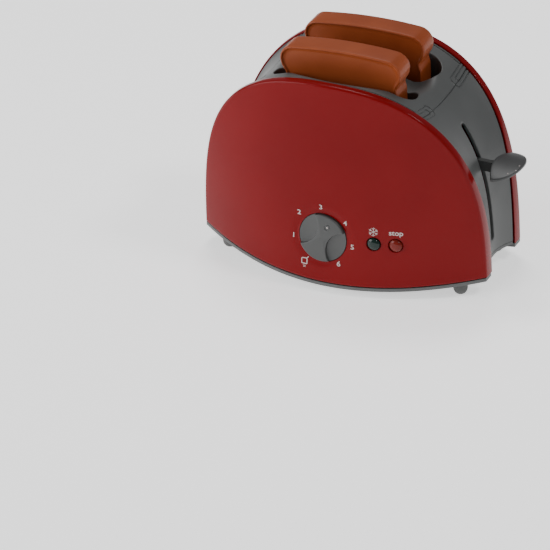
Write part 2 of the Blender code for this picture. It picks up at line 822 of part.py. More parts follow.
def add_button_seats(shell):
    """Holes for the two buttons and the posts of their guide plate"""
    for z in guide_screw_levels():
        length = face(GUIDE_SCREW_X, z) - SHELL_WALL / 2 + GUIDE_FACE_Y - GAP
        post = rod("guide_post", SMALL_POST_RADIUS, 0, length)
        place = Matrix.Translation((GUIDE_SCREW_X, GUIDE_FACE_Y - GAP, z)) @ Matrix.Rotation(pi / 2, 4, "X")
        bore = rod("guide_bore", SMALL_SCREW_RADIUS + GAP, -BITE, SMALL_SCREW_LENGTH)
        join(shell, placed(post, place))
        cut(shell, placed(bore, place))
    for x in (DEFROST_X, STOP_X):
        hole = rod("button_hole", BUTTON_RADIUS + GAP, -BUTTON_HOLE_REACH, BUTTON_HOLE_REACH, ROUND_STEPS)
        cut(shell, placed(hole, button_frame(x)))


def make_shells():
    front = shell_body("front_shell", -1)
    add_screw_posts(front, -1)
    add_dial_seat(front)
    add_button_seats(front)
    part(front, RED)
    rear = shell_body("rear_shell", 1)
    add_screw_posts(rear, 1)
    part(rear, RED)


# End walls
def wall_foot_turn(inset):
    return solve(lambda turn: arch_point(turn, inset)[1] - WALL_FOOT, 0, pi / 2)


def wall_seam_turn(inset):
    return solve(lambda turn: SEAM_X + GAP / 2 - arch_point(turn, inset)[0], 0, pi / 2)


def end_wall(name, side):
    """A concave wall closing one end between the shells"""
    bottom_turn = wall_foot_turn(FRAME_EDGE)
    top_turn = wall_seam_turn(FRAME_EDGE)
    grids = []
    for extra in (0, FRAME_WALL):
        rows = []
        for up in range(WALL_STEPS_UP + 1):
            share = up / WALL_STEPS_UP
            x, z = arch_point(bottom_turn + (top_turn - bottom_turn) * share)
            half = frame_half(x, z)
            row = []
            for step in range(WALL_STEPS_ACROSS + 1):
                y = half * (2 * step / WALL_STEPS_ACROSS - 1)
                inset = frame_inset(y, half, z) + extra
                low, high = wall_foot_turn(inset), wall_seam_turn(inset)
                wall_x, wall_z = arch_point(low + (high - low) * share, inset)
                reach = frame_half(wall_x, wall_z)
                row.append((side * wall_x, min(max(y, -reach), reach), wall_z))
            rows.append(row)
        grids.append(rows)
    return slab(name, *grids)


def make_end_walls():
    right = end_wall("end_wall_right", 1)
    half = SLIT_WIDTH / 2
    arc = [pi * step / SLIT_END_STEPS for step in range(SLIT_END_STEPS + 1)]
    outline = [(half * cos(turn), SLIT_TOP - half + half * sin(turn)) for turn in arc]
    outline += [(-y, SLIT_TOP + SLIT_BOTTOM - z) for y, z in outline]
    cut(right, prism("lever_slit", outline, SEAM_X, LENGTH / 2 + SHELL_SKIRT, "X"))
    part(right, GRAY)
    part(end_wall("end_wall_left", -1), GRAY)


# Dished top with bread chutes
def make_top_frame():
    seam_x = SEAM_X - GAP / 2

    def ring(outline, drop=0, trim=0):
        points = []
        for x, y in outline:
            half = frame_half(x, arch_level(x, FRAME_EDGE)) - trim
            y = min(max(y, -half), half)
            points.append((x, y, top_level(x, y) - drop))
        return points

    steps = DISH_CORNER_STEPS
    wide = frame_half(0, arch_level(0, FRAME_EDGE))
    border = []
    for x, y in rounded_box(seam_x, wide, DISH_SLOPE, steps):
        at_end = abs(x) > seam_x - DISH_SLOPE and abs(y) < wide - DISH_SLOPE * BORDER_CORNER_SHARE
        reach = seam_x if at_end else abs(x)
        half = frame_half(reach, arch_level(reach, FRAME_EDGE))
        border.append((copysign(reach, x) if x else x, copysign(min(abs(y), half), y) if y else y))
    rims = [rounded_box(DISH_HALF_X - DISH_SLOPE * share, DISH_HALF_Y - DISH_SLOPE * share,
                        DISH_RADIUS - DISH_SLOPE * share, steps) for share in DISH_RING_SHARES]
    loops = [ring(rims[-1], TOP_WALL), ring(rims[0], TOP_WALL), ring(border, TOP_WALL)]
    loops += [ring(border)] + [ring(rim) for rim in rims]
    top = loft("top_frame", loops)
    for offset in (-SLOT_OFFSET, SLOT_OFFSET):
        outline = race_track(SLOT_HALF_Y + CHUTE_WALL, offset)
        foot = [(x, y, CHUTE_FOOT) for x, y in outline]
        head = [(x, y, top_level(x, y) - TOP_WALL / 2) for x, y in outline]
        join(top, loft("chute", [foot, head]))
    shelf_low = (SLOT_HALF_X + CHUTE_WALL / 2, -SHELF_HALF_Y, SHELF_BOTTOM)
    join(top, block("shelf", shelf_low, (SHELF_X, SHELF_HALF_Y, SHELF_BOTTOM + SHELF_HEIGHT)))
    for offset in (-SLOT_OFFSET, SLOT_OFFSET):
        slot = prism("bread_slot", race_track(SLOT_HALF_Y, offset), CHUTE_FOOT - BITE, ARCH_HEIGHT)
        half = CHUTE_SLIT_WIDTH / 2
        slit = block("chute_slit", (SLOT_HALF_X / 2, offset - half, CHUTE_FOOT - BITE),
                     (SLOT_HALF_X + 2 * CHUTE_WALL, offset + half, CHUTE_SLIT_TOP))
        bore = rod("rod_seat", ROD_RADIUS + GAP, SHELF_BOTTOM - BITE, SHELF_BOTTOM + SHELF_SEAT)
        cut(top, slot, slit, moved(bore, ROD_X, offset))
    part(top, GRAY)


# Base tray with its feet and screws
def make_tray():
    sections = []
    for step in range(TRAY_STEPS + 1):
        x = TRAY_END * (2 * step / TRAY_STEPS - 1)
        bottom = edge_level(x, TRAY_EDGE)
        half = face(x, bottom) - TRAY_INSET
        top = bottom + TRAY_PLATE
        sections.append([(x, -half, bottom), (x, half, bottom), (x, half, top), (x, -half, top)])
    tray = loft("base_tray", sections)
    deepest = frame_inset(0, LENGTH, WALL_FOOT) + FRAME_WALL
    notch_x = arch_point(wall_foot_turn(deepest), deepest)[0] - GAP
    wall_x = arch_point(wall_foot_turn(FRAME_EDGE), FRAME_EDGE)[0]
    half = frame_half(wall_x, WALL_FOOT) + GAP
    for side in (-1, 1):
        low_x, high_x = sorted((side * notch_x, side * LENGTH))
        cut(tray, block("tray_notch", (low_x, -half, -BITE), (high_x, half, WALL_FOOT + TRAY_PLATE)))
    for x in (-POST_X, POST_X):
        for y in (-POST_Y, POST_Y):
            level = edge_level(x, TRAY_EDGE) + TRAY_PLATE / 2
            join(tray, moved(rod("screw_well", WELL_RADIUS, level, WELL_TOP, WELL_STEPS), x, y))
            cut(tray, moved(rod("well_bore", WELL_BORE, 0, WELL_BORE_TOP, WELL_STEPS), x, y))
            cut(tray, moved(rod("screw_bore", SCREW_RADIUS + GAP, 0, WELL_TOP + BITE), x, y))
    for x in (-FOOT_X, FOOT_X):
        for y in (-FOOT_Y, FOOT_Y):
            level = edge_level(x, TRAY_EDGE) + TRAY_PLATE / 2
            join(tray, moved(rod("foot_pad", PAD_RADIUS, PAD_BOTTOM, level, WELL_STEPS), x, y))
            cut(tray, moved(rod("foot_bore", FOOT_STEM + GAP, 0, WELL_TOP), x, y))
    for y in (-SLOT_OFFSET, SLOT_OFFSET):
        level = edge_level(ROD_X, TRAY_EDGE) + TRAY_PLATE / 2
        join(tray, moved(rod("rod_boss", ROD_BOSS_RADIUS, level, ROD_BOSS_TOP, WELL_STEPS), ROD_X, y))
        cut(tray, moved(rod("rod_bore", ROD_RADIUS + GAP, ROD_BOTTOM - GAP, ROD_BOSS_TOP + BITE), ROD_X, y))
    level = edge_level(LATCH_X, TRAY_EDGE) + TRAY_PLATE / 2
    latch_seat = LATCH_BOTTOM - GAP
    join(tray, moved(rod("latch_post", LATCH_POST_RADIUS, level, latch_seat, WELL_STEPS), LATCH_X, LATCH_Y))
    bore = rod("latch_bore", LATCH_PIN_RADIUS + GAP, LATCH_BOTTOM - LATCH_PIN_DEPTH - GAP, LATCH_BOTTOM)
    cut(tray, moved(bore, LATCH_X, LATCH_Y))
    part(tray, GRAY)


def make_feet():
    barb = edge_level(FOOT_X + FOOT_BARB, TRAY_EDGE) + TRAY_PLATE + GAP
    top = PAD_BOTTOM - GAP
    profile = [(0, 0), (FOOT_FLAT, 0)]
    dome = top * FOOT_DOME_SHARE
    for step in range(1, FOOT_DOME_STEPS + 1):
        angle = pi / 2 * step / FOOT_DOME_STEPS
        out = FOOT_FLAT + (FOOT_RADIUS - FOOT_FLAT) * sin(angle)
        profile.append((out, dome * (1 - cos(angle))))
    profile += [(FOOT_RADIUS, top), (FOOT_STEM, top), (FOOT_STEM, barb)]
    profile += [(FOOT_BARB, barb), (FOOT_STEM, barb + FOOT_BARB_HEIGHT), (0, barb + FOOT_BARB_HEIGHT)]
    for end, x in (("left", -FOOT_X), ("right", FOOT_X)):
        for side, y in (("front", -FOOT_Y), ("rear", FOOT_Y)):
            foot = turned(f"foot_{side}_{end}", profile, FOOT_STEPS)
            part(moved(foot, x, y), RUBBER)


def screw_profile(head_radius, head_height, radius, length):
    """A pan-head screw pointing up Z, the underside of its head at zero"""
    ease = head_height * SCREW_EASE_SHARE
    return ((0, -head_height), (head_radius - ease, -head_height), (head_radius, -head_height + ease),
            (head_radius, 0), (radius, 0), (radius, length), (0, length))


def make_base_screws():
    profile = screw_profile(SCREW_HEAD_RADIUS, SCREW_HEAD_HEIGHT, SCREW_RADIUS, SCREW_LENGTH)
    for end, x in (("left", -POST_X), ("right", POST_X)):
        for side, y in (("front", -POST_Y), ("rear", POST_Y)):
            screw = turned(f"base_screw_{side}_{end}", profile, SMALL_STEPS)
            part(moved(screw, x, y, WELL_BORE_TOP - GAP), STEEL)


# Guide rods, carriage, lever and springs
def arm_top(x):
    """Upper side of the bread carriers, along the tipped underside of the slices"""
    below = SLICE_PIVOT - SLICE_BOTTOM
    slope = tan(radians(SLICE_TIP))
    return SLICE_PIVOT - below / cos(radians(SLICE_TIP)) + x * slope - GAP


def carrier(offset):
    """A bread carrier: a sloping bar with an upturned tip"""
    root = ROD_X - HUB_RADIUS + BITE
    end = SLICE_BODY - SLICE_HALF - ARM_TIP_GAP
    bend = end + ARM_PLATE / 2
    tip = arm_top(end) + ARM_TIP
    outline = [(root, arm_top(root) - ARM_PLATE), (root, arm_top(root)), (bend, arm_top(bend)),
               (bend, tip), (end, tip), (end, arm_top(end) - ARM_PLATE)]
    half = ARM_WIDTH / 2
    return prism("carrier", outline, offset - half, offset + half, "Y")


def make_carriage():
    body = block("carriage", (ROD_X - BEAM_HALF_X, -SLOT_OFFSET, STEM_BOTTOM),
                 (ROD_X + BEAM_HALF_X, SLOT_OFFSET, STEM_TOP))
    stem = block("stem", (ROD_X, -STEM_HALF_Y, STEM_BOTTOM + GAP), (STEM_END, STEM_HALF_Y, STEM_TOP - GAP))
    tongue = block("tongue", (STEM_END - BITE, -TONGUE_HALF_Y, TONGUE_BOTTOM),
                   (TONGUE_END, TONGUE_HALF_Y, TONGUE_TOP))
    lug = block("lug", (ROD_X - LUG_HALF_X, -LUG_FRONT, LUG_BOTTOM),
                (ROD_X + LUG_HALF_X, -SLOT_OFFSET, LUG_TOP))
    join(body, stem, tongue)
    for offset in (-SLOT_OFFSET, SLOT_OFFSET):
        hub = moved(rod("hub", HUB_RADIUS, HUB_BOTTOM, HUB_TOP, ROUND_STEPS), ROD_X, offset)
        join(body, hub, carrier(offset))
    join(body, lug)
    for offset in (-SLOT_OFFSET, SLOT_OFFSET):
        bore = rod("hub_bore", ROD_RADIUS + GAP, HUB_BOTTOM - BITE, LUG_TOP + BITE)
        cut(body, moved(bore, ROD_X, offset))
    part(body, DARK_PLASTIC, (ROD_X, 0, HUB_BOTTOM))


def make_rods_and_springs():
    top = SHELF_BOTTOM + SHELF_SEAT - GAP
    length = HUB_BOTTOM - ROD_BOSS_TOP - 2 * GAP
    for side, y in (("front", -SLOT_OFFSET), ("rear", SLOT_OFFSET)):
        part(moved(rod(f"guide_rod_{side}", ROD_RADIUS, ROD_BOTTOM, top), ROD_X, y), STEEL)
        coil = spring(f"lift_spring_{side}", LIFT_SPRING_RADIUS, LIFT_SPRING_WIRE, LIFT_SPRING_TURNS,
                      length, STEEL)
        coil.location = (ROD_X, y, ROD_BOSS_TOP + GAP)


def paddle_top(y):
    return PADDLE_CORNER_Z + PADDLE_CROWN * (1 - (y / PADDLE_HALF_Y) ** 2)


def make_paddle():
    outer = []
    inner = []
    for step in range(PADDLE_STEPS + 1):
        y = -PADDLE_HALF_Y * cos(pi * step / PADDLE_STEPS)
        bow = sqrt(max(1 - (y / PADDLE_HALF_Y) ** 2, 0))
        outer.append((PADDLE_CORNER_X + PADDLE_OUTER_BOW * bow, y))
        inner.append((PADDLE_CORNER_X - PADDLE_INNER_BOW * bow * bow, y))
    outline = outer + list(reversed(inner[1:-1]))
    small = inset_outline(outline, PADDLE_ROUND)
    for corner, toward in ((0, 1), (PADDLE_STEPS, -1)):
        small[corner] = (PADDLE_CORNER_X, outline[corner][1] + toward * PADDLE_TIP)
    levels = ((small, -PADDLE_PLATE), (outline, PADDLE_ROUND - PADDLE_PLATE),
              (outline, -PADDLE_ROUND), (small, 0))
    loops = [[(x, y, paddle_top(y) + drop) for x, y in points] for points, drop in levels]
    paddle = loft("lever_paddle", loops)
    socket = block("socket", (SOCKET_START, -SOCKET_HALF_Y, SOCKET_BOTTOM),
                   (SOCKET_END, SOCKET_HALF_Y, SOCKET_TOP))
    room = block("socket_room", (SOCKET_START - BITE, -TONGUE_HALF_Y - GAP, TONGUE_BOTTOM - GAP),
                 (TONGUE_END + GAP, TONGUE_HALF_Y + GAP, TONGUE_TOP + GAP))
    part(cut(join(paddle, socket), room), GRAY, (SOCKET_START, 0, TONGUE_BOTTOM))


# Toy bread
def slice_outline():
    """The slice's outline (x, z), counter-clockwise from the middle of its top"""
    corner_x = SLICE_HALF - SLICE_CORNER
    corner_z = SLICE_TOP - SLICE_CROWN - SLICE_CORNER
    right = []
    for step in range(SLICE_CROWN_STEPS + 1):
        share = step / (SLICE_CROWN_STEPS + 1)
        right.append((corner_x * share, SLICE_TOP - SLICE_CROWN * share * share))
    for step in range(SLICE_CORNER_STEPS + 1):
        turn = pi / 2 * (1 - step / SLICE_CORNER_STEPS)
        right.append((corner_x + SLICE_CORNER * cos(turn), corner_z + SLICE_CORNER * sin(turn)))
    right.append((SLICE_HALF - SLICE_CHEEK_IN, corner_z - SLICE_CHEEK))
    right.append((SLICE_HALF - SLICE_WAIST, corner_z - SLICE_WAIST_DROP))
    right.append((SLICE_HALF - SLICE_BODY, corner_z - SLICE_BODY_DROP))
    foot_x = SLICE_HALF - SLICE_BODY - SLICE_FOOT
    for step in range(SLICE_FOOT_STEPS + 1):
        turn = pi / 2 * step / SLICE_FOOT_STEPS
        right.append((foot_x + SLICE_FOOT * cos(turn), SLICE_BOTTOM + SLICE_FOOT * (1 - sin(turn))))
    right.append((0, SLICE_BOTTOM))
    left = [(-x, z) for x, z in right[1:-1]]
    return [right[0]] + left + [right[-1]] + list(reversed(right[1:-1]))


def make_slices():
    outline = slice_outline()
    tip = Matrix.Translation((0, 0, SLICE_PIVOT)) @ Matrix.Rotation(-radians(SLICE_TIP), 4, "Y")
    tip = tip @ Matrix.Translation((0, 0, -SLICE_PIVOT))
    half = SLICE_THICKNESS / 2
    rings = [(SLICE_ROUND * a, half - SLICE_ROUND * b) for a, b in SLICE_ROUND_SHARES]
    rings += [(inset, -y) for inset, y in reversed(rings)]
    for side, offset in (("front", -SLOT_OFFSET), ("rear", SLOT_OFFSET)):
        loops = [[(x, y + offset, z) for x, z in inset_outline(outline, inset)] for inset, y in rings]
        bread = placed(loft(f"bread_slice_{side}", loops), tip)
        part(bread, BREAD, (0, offset, arm_top(0) + GAP))


# Timer behind the dial
def make_timer():
    dial = dial_frame()
    origin = dial.translation

    profile = ((0, DIAL_BACK), (DIAL_RADIUS, DIAL_BACK), (DIAL_RADIUS, DIAL_PROUD - DIAL_CHAMFER),
               (DIAL_RADIUS - DIAL_CHAMFER, DIAL_PROUD), (0, DIAL_PROUD))
    knob = turned("timer_dial", profile, 2 * ROUND_STEPS)
    join(knob, rod("dial_hub", DIAL_HUB_RADIUS, DIAL_HUB_END, DIAL_BACK + BITE, ROUND_STEPS))
    cut(knob, d_rod("dial_bore", GAP, DIAL_HUB_END - BITE, SHAFT_TIP + GAP))
    for side in (-1, 1):
        scoop = rod("scoop", SCOOP_RADIUS, DIAL_PROUD - SCOOP_DEPTH, DIAL_PROUD + BITE, 2 * ROUND_STEPS)
        across = Vector((side * SCOOP_OFFSET, 0, 0))
        cut(knob, moved(scoop, *across))
    turn = Matrix.Rotation(-radians(DIAL_POINTER), 4, "Z")
    placed(knob, dial @ turn)
    for step in knob.modifiers:
        placed(step.object, dial @ turn)
    part(knob, DIAL_GRAY, origin)

    low, high = COLLAR_SPAN
    profile = ((0, SHAFT_END), (SHAFT_RADIUS, SHAFT_END), (SHAFT_RADIUS, low), (COLLAR_RADIUS, low),
               (COLLAR_RADIUS, high), (SHAFT_RADIUS, high), (SHAFT_RADIUS, SHAFT_TIP), (0, SHAFT_TIP))
    shaft = turned("timer_shaft", profile, SHAFT_STEPS)
    reach = SHAFT_RADIUS + BITE
    flat = block("shaft_flat", (SHAFT_FLAT, -reach, DIAL_HUB_END - GAP), (reach, reach, 0))
    cut(shaft, placed(flat, dial @ turn))
    part(placed(shaft, dial @ turn), STEEL, origin)

    gear = prism("timer_gear", gear_outline(GEAR_TEETH), *GEAR_SPAN)
    bore = rod("gear_bore", SHAFT_RADIUS + GAP, GEAR_SPAN[0] - BITE, GEAR_SPAN[1] + BITE, SHAFT_STEPS)
    cut(placed(gear, dial), placed(bore, dial))
    part(gear, WHITE_PLASTIC, origin, smooth=False)

    cam = rod("release_cam", CAM_RADIUS, *CAM_SPAN, ROUND_STEPS)
    notch = rod("cam_notch", CAM_NOTCH, CAM_SPAN[0] - BITE, CAM_SPAN[1] + BITE)
    bore = rod("cam_bore", SHAFT_RADIUS + GAP, CAM_SPAN[0] - BITE, CAM_SPAN[1] + BITE, SHAFT_STEPS)
    cut(placed(cam, dial), placed(moved(notch, 0, CAM_RADIUS), dial), placed(bore, dial))
    part(cam, WHITE_PLASTIC, origin)

    wheel_x = -(MODULE * (GEAR_TEETH + PINION_TEETH) / 2 + MESH_SLACK)
    place = dial @ Matrix.Translation((wheel_x, 0, 0))
    outline = []
    root = WHEEL_RADIUS - WHEEL_TOOTH
    for tooth in range(WHEEL_TEETH):
        for radius, share in zip((WHEEL_RADIUS, root, root), WHEEL_TOOTH_SHARES):
            angle = 2 * pi * (tooth + share) / WHEEL_TEETH
            outline.append((radius * cos(angle), radius * sin(angle)))
    wheel = prism("escape_wheel", outline, *WHEEL_SPAN)
    pinion = prism("pinion", gear_outline(PINION_TEETH, pi / PINION_TEETH), *PINION_SPAN)
    arbor = rod("arbor", ARBOR_RADIUS, *ARBOR_SPAN)
    join(placed(wheel, place), placed(pinion, place), placed(arbor, place))
    part(wheel, WHITE_PLASTIC, place.translation, smooth=False)
    make_timer_plates(dial, wheel_x)


def d_rod(name, grow, start, end):
    """A round rod with one flat, as on the timer shaft"""
    radius = SHAFT_RADIUS + grow
    flat = SHAFT_FLAT + grow
    outline = [(min(x, flat), y) for x, y in round_outline(radius, SHAFT_STEPS)]
    return prism(name, outline, start, end)


def make_timer_plates(dial, wheel_x):
    corners = ((PLATE_LEFT, -PLATE_HALF), (PLATE_RIGHT, -PLATE_HALF),
               (PLATE_RIGHT, PLATE_HALF), (PLATE_LEFT, PLATE_HALF))
    plates = {}
    for name, span in (("timer_plate_front", FRONT_PLATE_SPAN), ("timer_plate_rear", REAR_PLATE_SPAN)):
        plate = placed(prism(name, corners, *span), dial)
        plates[name] = plate
        low, high = span[0] - BITE, span[1] + BITE
        if name == "timer_plate_rear":
            for x, y in pillar_places():
                pillar = rod("pillar", PILLAR_RADIUS, REAR_PLATE_SPAN[1] - BITE, FRONT_PLATE_SPAN[0] - GAP)
                rivet = rod("rivet", RIVET_RADIUS, REAR_PLATE_SPAN[1], RIVET_TIP)
                join(plate, placed(moved(pillar, x, y), dial), placed(moved(rivet, x, y), dial))
        cut(plate, placed(rod("shaft_hole", SHAFT_RADIUS + GAP, low, high, SHAFT_STEPS), dial))
        cut(plate, placed(moved(rod("arbor_hole", ARBOR_RADIUS + GAP, low, high), wheel_x, 0), dial))
    front = plates["timer_plate_front"]
    low, high = FRONT_PLATE_SPAN[0] - BITE, FRONT_PLATE_SPAN[1] + BITE
    for x, y in pillar_places():
        cut(front, placed(moved(rod("rivet_hole", RIVET_RADIUS + GAP, low, high), x, y), dial))
    profile = screw_profile(SMALL_HEAD_RADIUS, SMALL_HEAD_HEIGHT, SMALL_SCREW_RADIUS, SMALL_SCREW_LENGTH)
    for step, (x, y) in enumerate(timer_screw_places(), 1):
        cut(front, placed(moved(rod("screw_hole", SMALL_SCREW_RADIUS + GAP, low, high), x, y), dial))
        screw = moved(turned(f"timer_screw_{step}", profile, SMALL_STEPS), x, y, FRONT_PLATE_SPAN[0] - GAP)
        part(placed(screw, dial), STEEL)
    for plate in plates.values():
        part(plate, STEEL, smooth=False)


# Push buttons
def make_buttons():
    for name, x, look in (("defrost", DEFROST_X, DARK_GREEN), ("stop", STOP_X, DARK_RED)):
        place = button_frame(x)
        surface = face(x, BUTTON_Z)
        guide_depth = -(surface + GUIDE_FACE_Y)
        tip = guide_depth - GUIDE_PLATE - PLUNGER_PAST_GUIDE
        back, front = BUTTON_FLANGE_SPAN
        profile = [(0, tip), (PLUNGER_RADIUS, tip), (PLUNGER_RADIUS, back), (BUTTON_FLANGE_RADIUS, back),
                   (BUTTON_FLANGE_RADIUS, front), (BUTTON_RADIUS, front), (BUTTON_RADIUS, BUTTON_RIM)]
        for step in range(1, BUTTON_DOME_STEPS):
            angle = pi / 2 * step / BUTTON_DOME_STEPS
            profile.append((BUTTON_RADIUS * cos(angle), BUTTON_RIM + (BUTTON_PROUD - BUTTON_RIM) * sin(angle)))
        profile.append((0, BUTTON_PROUD))
        button = placed(turned(f"{name}_button", profile, ROUND_STEPS), place)
        part(button, look, place.translation)
        length = back - guide_depth - 2 * GAP
        coil = spring(f"{name}_spring", BUTTON_SPRING_RADIUS, BUTTON_SPRING_WIRE, BUTTON_SPRING_TURNS,
                      length, STEEL)
        coil.matrix_world = place @ Matrix.Translation((0, 0, guide_depth + GAP))
    make_button_guide()


def make_button_guide():
    low, high = GUIDE_FACE_Y, GUIDE_FACE_Y + GUIDE_PLATE
    guide = block("button_guide", (GUIDE_LEFT, low, BUTTON_Z - GUIDE_HALF_Z),
                  (GUIDE_RIGHT, high, BUTTON_Z + GUIDE_HALF_Z))
    for x in (DEFROST_X, STOP_X):
        hole = round_outline(PLUNGER_RADIUS + GAP, SMALL_STEPS, x, BUTTON_Z)
        cut(guide, prism("plunger_hole", hole, low - BITE, high + BITE, "Y"))
    profile = screw_profile(SMALL_HEAD_RADIUS, SMALL_HEAD_HEIGHT, SMALL_SCREW_RADIUS, SMALL_SCREW_LENGTH)
    for name, z in zip(("lower", "upper"), guide_screw_levels()):
        hole = round_outline(SMALL_SCREW_RADIUS + GAP, SMALL_STEPS, GUIDE_SCREW_X, z)
        cut(guide, prism("guide_hole", hole, low - BITE, high + BITE, "Y"))
        place = Matrix.Translation((GUIDE_SCREW_X, high + GAP, z)) @ Matrix.Rotation(pi / 2, 4, "X")
        part(placed(turned(f"guide_screw_{name}", profile, SMALL_STEPS), place), STEEL)
    part(guide, WHITE_PLASTIC, smooth=False)


# Latch that holds the carriage down
def make_latch():
    top = LATCH_BOTTOM + LATCH_PLATE
    lever = rod("latch_lever", LATCH_HUB_RADIUS, LATCH_BOTTOM, top, ROUND_STEPS)
    for angle, length in ((LATCH_HOOK_ANGLE, LATCH_HOOK_LENGTH), (LATCH_TAIL_ANGLE, LATCH_TAIL_LENGTH)):
        arm = [(0, -LATCH_HALF_WIDTH), (length, -LATCH_HALF_WIDTH)]
        for step in range(1, LATCH_END_STEPS):
            bend = pi * step / LATCH_END_STEPS - pi / 2
            arm.append((length + LATCH_HALF_WIDTH * cos(bend), LATCH_HALF_WIDTH * sin(bend)))
        arm += [(length, LATCH_HALF_WIDTH), (0, LATCH_HALF_WIDTH)]
        shape = prism("latch_arm", arm, LATCH_BOTTOM, top)
        join(lever, placed(shape, Matrix.Rotation(radians(angle), 4, "Z")))
    cut(lever, rod("latch_hole", LATCH_PIN_RADIUS + GAP, LATCH_BOTTOM - BITE, top + BITE, SMALL_STEPS))
    moved(lever, LATCH_X, LATCH_Y)
    for step in lever.modifiers:
        moved(step.object, LATCH_X, LATCH_Y)
    part(lever, WHITE_PLASTIC, (LATCH_X, LATCH_Y, LATCH_BOTTOM))
    head = top + GAP
    end = LATCH_BOTTOM - LATCH_PIN_DEPTH
    crown = head + LATCH_PIN_RADIUS
    profile = ((0, end), (LATCH_PIN_RADIUS, end), (LATCH_PIN_RADIUS, head), (LATCH_HUB_RADIUS, head),
               (LATCH_HUB_RADIUS, crown - LATCH_PIN_EASE), (LATCH_PIN_RADIUS, crown), (0, crown))
    pin = turned("latch_pin", profile, SMALL_STEPS)
    part(moved(pin, LATCH_X, LATCH_Y), STEEL)


# Place of the whole
def centre_length():
    """Shift everything along X, so that the middle of the whole length is at zero"""
    shell_end = shell_loop(0, skirt_depth, 1)[0][0]
    middle = (PADDLE_CORNER_X + PADDLE_OUTER_BOW - shell_end) / 2
    for thing in list(PARTS.objects) + list(CUTTERS.objects):
        thing.location.x -= middle


make_shells()
make_end_walls()
make_top_frame()
make_tray()
make_feet()
make_base_screws()
make_rods_and_springs()
make_carriage()
make_paddle()
make_slices()
make_timer()
make_buttons()
make_latch()
centre_length()
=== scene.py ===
"""The looks of the toy pop-up toaster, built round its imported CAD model. Metres, +Z up."""

from math import copysign, cos, hypot, pi, radians, sin, sqrt

import bmesh
import bpy
from mathutils import Matrix, Vector


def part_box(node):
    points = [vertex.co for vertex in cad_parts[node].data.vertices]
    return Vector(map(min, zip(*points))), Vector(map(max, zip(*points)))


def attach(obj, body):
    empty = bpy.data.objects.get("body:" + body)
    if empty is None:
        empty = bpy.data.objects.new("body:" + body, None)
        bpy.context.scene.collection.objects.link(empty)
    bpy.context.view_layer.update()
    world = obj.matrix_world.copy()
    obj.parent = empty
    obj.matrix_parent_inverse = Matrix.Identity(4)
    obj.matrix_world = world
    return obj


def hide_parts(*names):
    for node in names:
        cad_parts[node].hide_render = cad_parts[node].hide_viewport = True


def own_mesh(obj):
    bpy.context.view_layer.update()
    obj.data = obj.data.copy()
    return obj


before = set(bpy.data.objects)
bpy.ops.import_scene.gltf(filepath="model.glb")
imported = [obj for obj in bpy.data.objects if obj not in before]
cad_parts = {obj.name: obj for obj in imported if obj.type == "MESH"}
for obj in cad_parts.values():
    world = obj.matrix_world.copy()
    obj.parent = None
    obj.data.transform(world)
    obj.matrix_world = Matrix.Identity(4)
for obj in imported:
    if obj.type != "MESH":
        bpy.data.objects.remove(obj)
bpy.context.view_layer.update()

# The body, as in the CAD model, before its shift along X
LENGTH = 0.180
ARCH_HEIGHT = 0.1358
ARCH_BASE = -0.0070
ARCH_POWER_ACROSS = 2.40
ARCH_POWER_UP = 3.27
END_DEPTH = 0.0257
BELLY = 0.0313
LEAN_SHARE = 0.592
GAP = 0.0003
RED_EDGE = 0.0065
EDGE_RISE = 0.0061
SHELL_WALL = 0.0022
SHELL_SKIRT = 0.0052
SKIRT_GAIN = 0.0040
SKIRT_POWER = 11
SHELL_ROUND = 0.0014
SHELL_LIP = 0.0008
FRAME_WALL = 0.0020
FRAME_EDGE = 0.0011
FRAME_MIDDLE_TOP = 0.0015
FRAME_MIDDLE_GAIN = 0.0051
FRAME_MIDDLE_POWER = 9
SEAM_X = 0.0540
WALL_FOOT = 0.0124
SLIT_WIDTH = 0.0041
SLIT_BOTTOM = 0.0230
SLIT_TOP = 0.0958
TOP_WALL = 0.0022
SLOT_OFFSET = 0.0167
SLOT_HALF_X = 0.0445
SLOT_HALF_Y = 0.0095
CHUTE_WALL = 0.0018
CHUTE_FOOT = 0.0580
CHUTE_SLIT_WIDTH = 0.0090
CHUTE_SLIT_TOP = 0.0930
SHELF_X = 0.0586
SHELF_HALF_Y = 0.0212
SHELF_BOTTOM = 0.0955
SHELF_HEIGHT = 0.0040
TRAY_EDGE = 0.0038
TRAY_PLATE = 0.0024
TRAY_INSET = 0.0006
TRAY_END = 0.0895
FOOT_X = 0.0739
FOOT_Y = 0.0264
FOOT_RADIUS = 0.0043
FOOT_FLAT = 0.0016
FOOT_TOP = 0.0069
PAD_RADIUS = 0.0049
PAD_BOTTOM = 0.0072
POST_X = 0.0600
POST_Y = 0.0286
WELL_RADIUS = 0.0048
WELL_TOP = 0.0130
WELL_BORE = 0.0033
WELL_BORE_TOP = 0.0106
ROD_X = 0.0540
ROD_BOSS_RADIUS = 0.0040
ROD_BOSS_TOP = 0.0120

# The dish round the slots: the photograph's oval, deeper than the CAD model's
DISH_HALF_X = 0.0490
DISH_HALF_Y = 0.0365
DISH_SLOPE_SHARE = 0.36
DISH_DEPTH = 0.0095

# Cuts, rounded mouths and welds
OVERRUN = 0.001
WELD = 0.00001
WELD_FINE = 0.000001
LIP_CLEAR = 0.0200
LIP_REACH = 0.0015
BUTTON_LIP = 0.00035
BUTTON_CUT = 0.0030
SLIT_LIP = 0.0004
SLIT_CUT = 0.0045
SLOT_LIP = 0.0008
SLOT_CUT = 0.0800
SLOT_LIP_REACH = 0.0020
TRAY_SOFT = 0.0005
SOFT_SHARE = 0.3
FOOT_DOME_SHARE = 0.6

